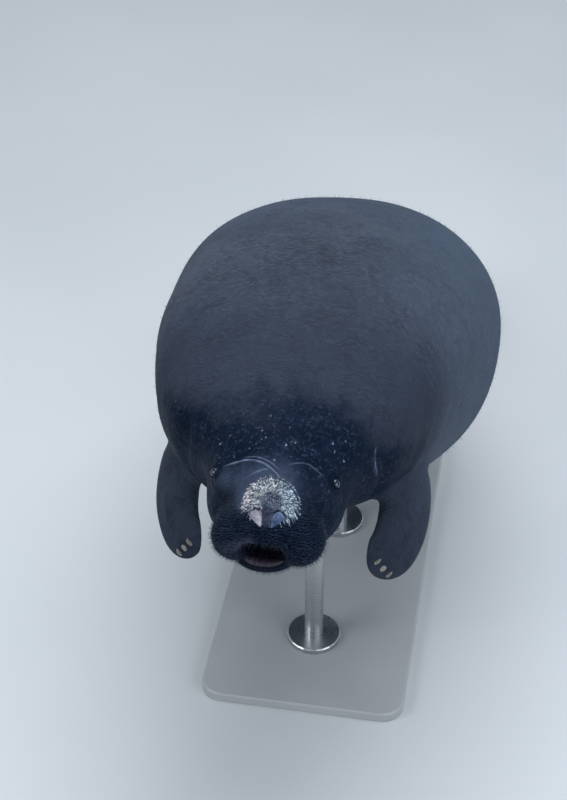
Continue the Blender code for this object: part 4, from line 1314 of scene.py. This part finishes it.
def crust_scales(hide, spoke, core):
    """Scales of the patch, from 0 in their gaps to 1: long ones round a core of small round ones."""
    long_scales = spread(cells(spoke, 215.0, "DISTANCE_TO_EDGE"), 0.020, 0.150)
    round_scales = spread(cells(hide["loose_place"], 250.0, "DISTANCE_TO_EDGE"), 0.02, 0.17)
    scales = times(long_scales, minus(1.0, core))
    scales = plus(times(round_scales, core), scales)
    worn = noise(spoke, 105.0, 3.0, 0.6, 1.0)
    return times(scales, spread(worn, 0.38, 0.49, 0.16, 1.0))


def crust_cover(hide, spoke, septum):
    """Where the crust lies, from 0 to 1: ragged at its rim, off the bare strip and the left nostril."""
    spike = noise(stretch(spoke, (260.0, 60.0, 1.0)), 1.0, 2.0, 0.6)
    ragged = plus(hide["patch"], spread(spike, 0.3, 0.7, -0.13, 0.10))
    ragged = minus(ragged, times(hide["nostril_left"], 1.2))
    return times(spread(ragged, 0.48, 0.56), minus(1.0, septum))


def crust_colour(hide, scales, core):
    """Chalky scales over dark gaps, rosy on the right, bluish on the left and darker in the core."""
    colour = blend(spread(hide["fine"], 0.35, 0.65), *CRUST_SHADES)
    colour = blend(times(hide["rosy"], 0.60), colour, ROSY_SHADE)
    colour = blend(times(hide["cool"], 0.55), colour, COOL_SHADE)
    colour = blend(times(core, 0.82), colour, CORE_SHADE)
    return blend(scales, blend(core, *GAP_SHADES), colour)


def nose_colour(hide, colour, septum):
    """The hide's colour with the bare strip, the two nostrils and the painted shade of their crescent
    grooves; the left dome's mottle and flecks are painted reflections.
    """
    bare = blend(spread(hide["fine"], 0.40, 0.62), *SEPTUM_SHADES)
    colour = blend(times(septum, 0.85), colour, bare)
    # Painted reflections: the left dome's mottle and pale flecks
    left = blend(spread(hide["mottle"], 0.35, 0.65), *LEFT_NOSTRIL_SHADES)
    left = blend(spread(hide["fine"], 0.49, 0.60, 0.0, 0.60), left, LEFT_NOSTRIL_GLINT)
    colour = blend(times(hide["nostril_left"], 0.95), colour, left)
    right = blend(spread(hide["mottle"], 0.35, 0.65), *RIGHT_NOSTRIL_SHADES)
    colour = blend(times(hide["nostril_right"], 0.92), colour, right)
    # Painted shade in the crescent grooves
    return blend(times(hide["crescent"], 0.9), colour, CRESCENT_SHADOW)


def forehead_glint_specks(hide):
    """Painted glints: small pale specks in loose drifts over the forehead, standing in for glints of light
    on wet skin, from 0 to 1.
    """
    loose = unsettle(hide["place"], hide["place"], 230.0, 0.010)
    small = times(spots(loose, 92.0, 0.18, 0.42), 0.60)
    speck = maths("MAXIMUM", small, spots(loose, 50.0, 0.17, 0.44))
    drift = spread(noise(hide["place"], 12.0, 1.0), 0.46, 0.56, 0.18, 1.0)
    free = minus(1.0, maths("MAXIMUM", hide["muzzle"], hide["bridge"]))
    zone = plus(times(hide["forehead"], 0.88), 0.12)
    drift = times(times(drift, times(hide["wet"], zone)), free)
    return times(times(speck, drift), 0.85)


def hide_roughness(hide, cover):
    """A little smoother on the wet head and the bridge, and chalky on the crust."""
    rough = spread(hide["edge"], 0.0, 1.0, 0.62, 0.50)
    rough = minus(rough, times(hide["bridge"], 0.14))
    rough = plus(rough, times(cover, 0.20))
    return plus(rough, spread(hide["fine"], 0.3, 0.7, -0.06, 0.06))


def hide_relief(hide, rows, scales):
    """Bump of the wrinkles and cracks, the head's pebbles, the muzzle's rows and the crust."""
    place = hide["place"]
    cross = noise(stretch(place, (120.0, 45.0, 120.0)), 1.0, 3.0, 0.55, 0.3)
    pebbles = times(cells(place, 190.0), spread(hide["edge"], 0.0, 1.0, 0.04, 0.42))
    height = plus(times(hide["wrinkle"], 0.90), times(cross, 0.35))
    height = minus(height, times(hide["crack"], 0.80))
    height = plus(height, pebbles)
    for layer, share in ((hide["mottle"], 0.55), (hide["fine"], 0.20), (rows, 0.30), (scales, 0.60)):
        height = plus(height, times(layer, share))
    return bump(height, 0.85, 0.0030)


def hide_material():
    """Grey wrinkled hide, darker and wet on the head, with the pale scaly patch on the nose."""
    material, tree, shader = new_material("hide", (0.05, 0.06, 0.09), 0.5)
    hide = hide_textures(tree)
    colour = blend(hide["edge"], back_colour(hide), head_colour(hide))
    # Painted sheen over the bridge of the nose
    bridge_sheen = times(hide["bridge"], spread(hide["blotch"], 0.3, 0.65, 0.35, 0.95))
    colour = blend(bridge_sheen, colour, BRIDGE_SHEEN_SHADE)
    rows = muzzle_rows(hide)
    colour = blend(times(hide["muzzle"], 0.92), colour, muzzle_colour(hide, rows))
    # Painted highlight along the ridges
    ridge = times(hide["ridge"], spread(hide["mottle"], 0.35, 0.60, 0.35, 0.85))
    colour = blend(ridge, colour, RIDGE_HIGHLIGHT_SHADE)

    spoke = unsettle(read_mark(tree, "spoke", "Vector"), hide["place"], 60.0, 0.010)
    core = spread(hide["patch_core"], 0.45, 0.65)
    septum = spread(hide["septum"], 0.20, 0.75)
    scales = crust_scales(hide, spoke, core)
    cover = crust_cover(hide, spoke, septum)
    colour = blend(cover, colour, crust_colour(hide, scales, core))
    colour = nose_colour(hide, colour, septum)

    # Painted glints of light on the wet forehead
    colour = blend(forehead_glint_specks(hide), colour, GLINT_SPECK_SHADE)
    colour = blend(times(hide["lids"], 0.66), colour, LID_SHADE)
    # Inside the mouth: the lining's streaks, kept near black as painted shade of the cavity
    streak = noise(stretch(hide["place"], (380.0, 60.0, 60.0)), 1.0, 2.0)
    inside = blend(spread(streak, 0.42, 0.62), *MOUTH_LINING_AND_SHADOW_SHADES)
    colour = blend(times(hide["mouth"], 0.92), colour, inside)

    connect(tree, shader.inputs, {
        "Base Color": colour, "Roughness": hide_roughness(hide, cover), "Specular IOR Level": 0.025,
        "Normal": hide_relief(hide, times(rows, hide["muzzle"]), times(scales, cover)),
    })
    return material


def bristle_material():
    """Stiff dark grey bristle, a little uneven in tone."""
    material, tree, shader = new_material("bristle", (0.16, 0.18, 0.22), 0.45)
    shade = noise(own_place(tree), 160.0, 2.0)
    colour = blend(spread(shade, 0.35, 0.65), *BRISTLE_SHADES)
    connect(tree, shader.inputs, {"Base Color": colour, "Specular IOR Level": 0.15})
    return material


def pad_material():
    """Moist dull pink of the pad in the mouth, with painted shade over one side of it."""
    material, tree, shader = new_material("pink_pad", (0.10, 0.06, 0.07), 0.32)
    place = own_place(tree)
    ridge = noise(stretch(place, (260.0, 90.0, 60.0)), 1.0, 3.0, 0.6)
    colour = blend(spread(ridge, 0.35, 0.65), *PAD_SHADES)
    # Painted shade over one side of the pad, across its width
    across = linked_node("ShaderNodeSeparateXYZ", {0: place}).outputs[0]
    middle = world_point(MOUTH_PAD_CENTRE).x
    shaded = spread(across, middle + PAD_SHADOW_SPAN[0], middle + PAD_SHADOW_SPAN[1], 0.0, 0.85)
    colour = blend(shaded, colour, PAD_SHADOW_SHADE)
    connect(tree, shader.inputs, {"Base Color": colour, "Normal": bump(ridge, 0.6, 0.0015)})
    return material


def eye_material():
    """Wet black eye with a faint cool haze."""
    material, tree, shader = new_material("eye_wet", (0.003, 0.004, 0.007), 0.08)
    haze = noise(own_place(tree), 180.0, 2.0)
    colour = blend(spread(haze, 0.45, 0.75), *EYE_SHADES)
    shine = {"Specular IOR Level": 1.0, "Specular Tint": EYE_SHINE}
    connect(tree, shader.inputs, {"Base Color": colour} | shine)
    return material


def nail_material():
    """Dull horn with lengthwise growth lines."""
    material, tree, shader = new_material("nail_horn", (0.26, 0.24, 0.21), 0.42)
    grain = noise(stretch(own_place(tree), (700.0, 200.0, 200.0)), 1.0, 3.0)
    colour = blend(spread(grain, 0.3, 0.7), *NAIL_SHADES)
    connect(tree, shader.inputs, {"Base Color": colour, "Normal": bump(grain, 0.4, 0.0006)})
    return material


def paint_material():
    """Satin pale grey paint with a fine orange-peel texture."""
    material, tree, shader = new_material("satin_paint", (0.42, 0.43, 0.44), 0.42)
    place = own_place(tree)
    peel = noise(place, 420.0, 2.0)
    cloud = noise(place, 3.0, 3.0)
    colour = blend(spread(cloud, 0.3, 0.7), *PAINT_SHADES)
    connect(tree, shader.inputs, {
        "Base Color": colour, "Roughness": spread(peel, 0.3, 0.7, 0.38, 0.48),
        "Normal": bump(peel, 0.15, 0.0004),
    })
    return material


def steel_material():
    """Brushed steel, its grain running round the rods."""
    material, tree, shader = new_material("brushed_steel", (0.52, 0.53, 0.54), 0.30, 1.0)
    grain = noise(stretch(own_place(tree), (12.0, 12.0, 900.0)), 1.0, 3.0)
    rough = spread(grain, 0.3, 0.7, 0.24, 0.40)
    connect(tree, shader.inputs, {"Roughness": rough, "Normal": bump(grain, 0.12, 0.0003)})
    return material


def dress(item, material):
    """Give a piece its one material and smooth shading."""
    item.data.materials.clear()
    item.data.materials.append(material)
    item.data.shade_smooth()


# Bristles
def single_bristle():
    """One bristle of unit length and radius, tapered and a little bent."""
    rings = []
    for height, radius, lean in BRISTLE_RINGS:
        ring = []
        for k in range(BRISTLE_SIDES):
            a = 2.0 * math.pi * k / BRISTLE_SIDES
            ring.append((radius * math.cos(a) + lean * BRISTLE_BEND, radius * math.sin(a), height))
        rings.append(ring)
    return loft("single_bristle", rings, end_point=(0.30 * BRISTLE_BEND, 0.0, 1.0))


def bristle_inputs(tree):
    """Give the node tree its named inputs, and return the identifier of each."""
    tree.interface.new_socket("Geometry", in_out="INPUT", socket_type="NodeSocketGeometry")
    kinds = {
        "Bristle": "Object", "Material": "Material", "Mark": "String", "Most per square metre": "Float",
        "Distance apart": "Float", "Length": "Float", "Half thickness": "Float", "Lean": "Float",
        "Disorder": "Float", "Seed": "Int",
    }
    sockets = {}
    for name, kind in kinds.items():
        made = tree.interface.new_socket(name, in_out="INPUT", socket_type="NodeSocket" + kind)
        sockets[name] = made.identifier
    tree.interface.new_socket("Geometry", in_out="OUTPUT", socket_type="NodeSocketGeometry")
    return sockets


def random_number(low, high, seed):
    """A random number for each bristle."""
    inputs = {2: low, 3: high, "Seed": seed}
    return linked_node("FunctionNodeRandomValue", inputs, data_type="FLOAT").outputs[1]


def bristle_turn(tree, given, normal):
    """How each bristle is turned: off the skin, leaning with its lie, a little astray and twisted."""
    seed = given["Seed"]
    lie = tree_node(tree, "GeometryNodeInputNamedAttribute", {"Name": "lie"}, data_type="FLOAT_VECTOR")
    lean = scaled(lie.outputs["Attribute"], given["Lean"])
    inputs = {0: (-1.0, -1.0, -1.0), 1: (1.0, 1.0, 1.0), "Seed": seed}
    stray = linked_node("FunctionNodeRandomValue", inputs, data_type="FLOAT_VECTOR")
    aim = added(added(normal, lean), scaled(stray.outputs[0], given["Disorder"]))
    turn = linked_node("FunctionNodeAlignRotationToVector", {"Vector": aim}, axis="Z")
    inputs = {"Axis": (0.0, 0.0, 1.0), "Angle": random_number(-0.9, 0.9, seed)}
    twist = linked_node("FunctionNodeAxisAngleToRotation", inputs)
    inputs = {"Rotation": turn.outputs[0], "Rotate By": twist.outputs[0]}
    return linked_node("FunctionNodeRotateRotation", inputs, rotation_space="LOCAL").outputs[0]


def bristle_tree():
    """Node tree that grows bristles on a skin where its mark says, each on its own root."""
    tree = bpy.data.node_groups.new("grow_bristles", "GeometryNodeTree")
    sockets = bristle_inputs(tree)
    given = tree.nodes.new("NodeGroupInput").outputs
    grows = linked_node("GeometryNodeInputNamedAttribute", {"Name": given["Mark"]}, data_type="FLOAT")
    scatter = linked_node("GeometryNodeDistributePointsOnFaces", {
        "Mesh": given["Geometry"], "Distance Min": given["Distance apart"], "Seed": given["Seed"],
        "Density Max": given["Most per square metre"], "Density Factor": grows.outputs["Attribute"],
    }, distribute_method="POISSON")
    tall = times(random_number(0.55, 1.25, given["Seed"]), given["Length"])
    half = given["Half thickness"]
    size = linked_node("ShaderNodeCombineXYZ", {0: half, 1: half, 2: tall})
    source = linked_node("GeometryNodeObjectInfo", {"Object": given["Bristle"]})
    placed = linked_node("GeometryNodeInstanceOnPoints", {
        "Points": scatter.outputs["Points"], "Instance": source.outputs["Geometry"],
        "Rotation": bristle_turn(tree, given, scatter.outputs["Normal"]), "Scale": size.outputs[0],
    })
    real = linked_node("GeometryNodeRealizeInstances", {"Geometry": placed.outputs[0]})
    painted = linked_node("GeometryNodeSetMaterial", {
        "Geometry": real.outputs[0], "Material": given["Material"],
    })
    out = tree.nodes.new("NodeGroupOutput")
    tree.links.new(painted.outputs[0], out.inputs["Geometry"])
    return tree, sockets


def unwrap_bristles(mesh, single):
    """Write the OFBake map: each bristle a small patch at its root's place on the skin's unwrap."""
    count = len(single.data.vertices)
    roots = read_rows(mesh.attributes["unwrap"].data, "vector", 3)[:, :2]
    own = vertex_array(single.data)
    angle = np.arctan2(own[:, 1], own[:, 0])
    local = np.stack([angle / (2.0 * math.pi) + 0.5, np.clip(own[:, 2], 0.0, 1.0)], 1)
    index = np.arange(len(mesh.vertices)) % count
    places = roots + (local[index] - 0.5) * UNWRAP_PATCH
    corners = read_rows(mesh.loops, "vertex_index", 1, np.int32).ravel()
    chart = mesh.uv_layers.new(name="OFBake")
    chart.data.foreach_set("uv", np.clip(places, 0.001, 0.999)[corners].astype(np.float32).ravel())


def grow_bristles(skin, name, tree, sockets, single, material):
    """Grow one set of bristles on the skin and keep it as a plain mesh."""
    most, apart, length, half, lean, seed = BRISTLE_SETS[name]
    bed = skin.copy()
    bed.data = skin.data.copy()
    bpy.context.scene.collection.objects.link(bed)
    grow = bed.modifiers.new("grow", "NODES")
    grow.node_group = tree
    values = {
        "Bristle": single, "Material": material, "Mark": "grow_" + name.split("_")[1],
        "Most per square metre": float(most), "Distance apart": apart, "Length": length,
        "Half thickness": half, "Lean": lean, "Disorder": BRISTLE_DISORDER, "Seed": seed,
    }
    for key, value in values.items():
        grow[sockets[key]] = value
    bpy.context.view_layer.update()
    graph = bpy.context.evaluated_depsgraph_get()
    mesh = bpy.data.meshes.new_from_object(bed.evaluated_get(graph))
    bpy.data.objects.remove(bed, do_unlink=True)
    mesh.name = name
    unwrap_bristles(mesh, single)
    for mark in [m.name for m in mesh.attributes if m.name in SKIN_MARKS]:
        mesh.attributes.remove(mesh.attributes[mark])
    item = add_object(name, mesh)
    mesh.shade_smooth()
    tell_triangles(item)
    return item


# Eyes, pad and nails
def head_matrix(centre):
    """Turn and place a small form on the head, its own axes along x, t and z."""
    turn = Matrix((SPINE[2][0], SPINE[4][0], SPINE[3][0])).transposed()
    return Matrix.Translation(world_point(centre)) @ turn.to_4x4()


def ball_object(name, placement, radii, rings=24, sides=40):
    """An ellipsoid, with its own axes set by the placement."""
    work = bmesh.new()
    bmesh.ops.create_uvsphere(work, u_segments=sides, v_segments=rings, radius=1.0)
    scale = Matrix.Diagonal((*radii, 1.0))
    bmesh.ops.transform(work, matrix=placement @ scale, verts=work.verts)
    mesh = bpy.data.meshes.new(name)
    work.to_mesh(mesh)
    work.free()
    return add_object(name, mesh)


def nail_placement(side, place):
    """The frame of a nail on the outer face of a flipper's tip, its own z facing out."""
    centre, broad, out, breadth, thickness = flipper_frame(NAIL_STATION, side)
    lift = thickness * math.sqrt(1.0 - place * place)
    spot = Vector(centre + broad * breadth * place + out * lift)
    facing = Vector(out * thickness * lift + broad * (breadth * place) * thickness / breadth)
    z_axis = facing.normalized()
    y_axis = Vector(broad)
    x_axis = y_axis.cross(z_axis).normalized()
    y_axis = z_axis.cross(x_axis)
    turn = Matrix((x_axis, y_axis, z_axis)).transposed().to_4x4()
    return Matrix.Translation(spot) @ turn


def make_eyes(material):
    """Both eyeballs, in place of the frame's."""
    for side, node in ((1, "eye_left"), (-1, "eye_right")):
        centre = (EYE_PLACE - EYE_DEPTH * EYE_AIM) * (side, 1.0, 1.0)
        eye = ball_object(node + "_ball", head_matrix(centre), (EYE_RADIUS,) * 3)
        dress(eye, material)
        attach(eye, "root")
        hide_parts(node)


def make_pad(material):
    """The pink pad in the mouth."""
    pad = ball_object("mouth_pad_soft", Matrix.Identity(4), MOUTH_PAD_RADII, 32, 64)
    points = vertex_array(pad.data)
    end = (points[:, 0] / MOUTH_PAD_RADII[0]) ** 2
    points[:, 1] += PAD_CURVE[0] * end
    points[:, 2] += PAD_CURVE[1] * end
    set_vertices(pad.data, world(points + np.asarray(MOUTH_PAD_CENTRE)))
    dress(pad, material)
    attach(pad, "root")
    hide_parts("mouth_pad")


def make_nails(material):
    """Three nails on each flipper."""
    for side, word in ((1, "left"), (-1, "right")):
        for number, place in enumerate(NAIL_PLACES, 1):
            node = f"nail_{word}_{number}"
            nail = ball_object(node + "_horn", nail_placement(side, place), NAIL_RADII, 12, 24)
            dress(nail, material)
            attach(nail, "root")
            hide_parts(node)


# Room
def make_floor():
    """A plain pale floor."""
    material, tree, shader = new_material("floor_pale", (0.62, 0.64, 0.65), 0.75)
    cloud = noise(own_place(tree), 0.8, 2.0)
    colour = blend(spread(cloud, 0.3, 0.7), *FLOOR_SHADES)
    connect(tree, shader.inputs, {"Base Color": colour})
    half = FLOOR_HALF_SIZE
    corners = [(-half, -half, 0.0), (half, -half, 0.0), (half, half, 0.0), (-half, half, 0.0)]
    floor = mesh_object("floor", corners, [(0, 1, 2, 3)])
    floor.data.materials.append(material)


def add_light(name, place, aim, size, power, colour):
    """A soft rectangular light aimed at a point."""
    light = bpy.data.lights.new(name, "AREA")
    light.shape = "RECTANGLE"
    light.size, light.size_y = size
    light.energy = power
    light.color = colour
    item = add_object(name, light)
    item.location = place
    item.rotation_euler = (Vector(aim) - Vector(place)).to_track_quat("-Z", "Y").to_euler()


def make_lights():
    """Soft light from above, as from a bright overcast sky, with two weaker lamps in front."""
    scene = bpy.context.scene
    sky = bpy.data.worlds.new("sky")
    sky.use_nodes = True
    sky.node_tree.nodes["Background"].inputs[0].default_value = SKY_COLOUR
    sky.node_tree.nodes["Background"].inputs[1].default_value = SKY_STRENGTH
    scene.world = sky
    for name, settings in LAMPS.items():
        add_light(name, *settings)
    scene.view_settings.view_transform = "Standard"


def make_camera():
    """The camera at the photograph's place, turned so that the snout lands where it is there."""
    flat = math.cos(CAMERA_ELEVATION)
    level = (math.sin(CAMERA_AZIMUTH) * flat, -math.cos(CAMERA_AZIMUTH) * flat)
    back = Vector((*level, math.sin(CAMERA_ELEVATION)))
    right = Vector((math.cos(CAMERA_AZIMUTH), math.sin(CAMERA_AZIMUTH), 0.0))
    up = back.cross(right)
    across = (PICTURE[0] / 2 - CAMERA_AIM_PIXEL[0]) / CAMERA_FOCAL_PIXELS
    above = (CAMERA_AIM_PIXEL[1] - PICTURE[1] / 2) / CAMERA_FOCAL_PIXELS
    forward = (-back + right * across + up * above).normalized()
    camera = bpy.data.cameras.new("camera")
    camera.sensor_fit = "VERTICAL"
    camera.sensor_height = 36.0
    camera.lens = CAMERA_FOCAL_PIXELS * camera.sensor_height / PICTURE[1]
    item = add_object("camera", camera)
    item.location = world_point(CAMERA_AIM) + back * CAMERA_DISTANCE
    item.rotation_euler = forward.to_track_quat("-Z", "Y").to_euler()
    bpy.context.scene.camera = item


# Putting it together
def make_skin(hide, bristle):
    """The whole hide in one piece, and the bristles that grow on it."""
    skin = join_flippers(make_trunk())
    mark_skin(skin)
    dress(skin, hide)
    tell_triangles(skin)
    single = single_bristle()
    tree, sockets = bristle_tree()
    for name in BRISTLE_SETS:
        item = grow_bristles(skin, name, tree, sockets, single, bristle)
        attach(item, "root")
    bpy.data.objects.remove(single, do_unlink=True)
    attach(skin, "root")
    for node in SKIN_NODES:
        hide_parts(node)


def dress_stand(frame, paint, steel):
    """Finish the frame's own stand nodes."""
    for name, node in frame["nodes"].items():
        if name.startswith("stand_"):
            metal = name.startswith(("stand_rod", "stand_foot"))
            node.data.materials.clear()
            node.data.materials.append(steel if metal else paint)
            node.data.shade_smooth()
            node.data.set_sharp_from_angle(angle=math.radians(25.0))


def main():
    """Load the frame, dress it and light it."""
    for item in list(bpy.data.objects):
        bpy.data.objects.remove(item, do_unlink=True)
    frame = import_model()
    make_skin(hide_material(), bristle_material())
    make_eyes(eye_material())
    make_pad(pad_material())
    make_nails(nail_material())
    dress_stand(frame, paint_material(), steel_material())
    make_floor()
    make_lights()
    make_camera()
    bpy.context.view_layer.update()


main()
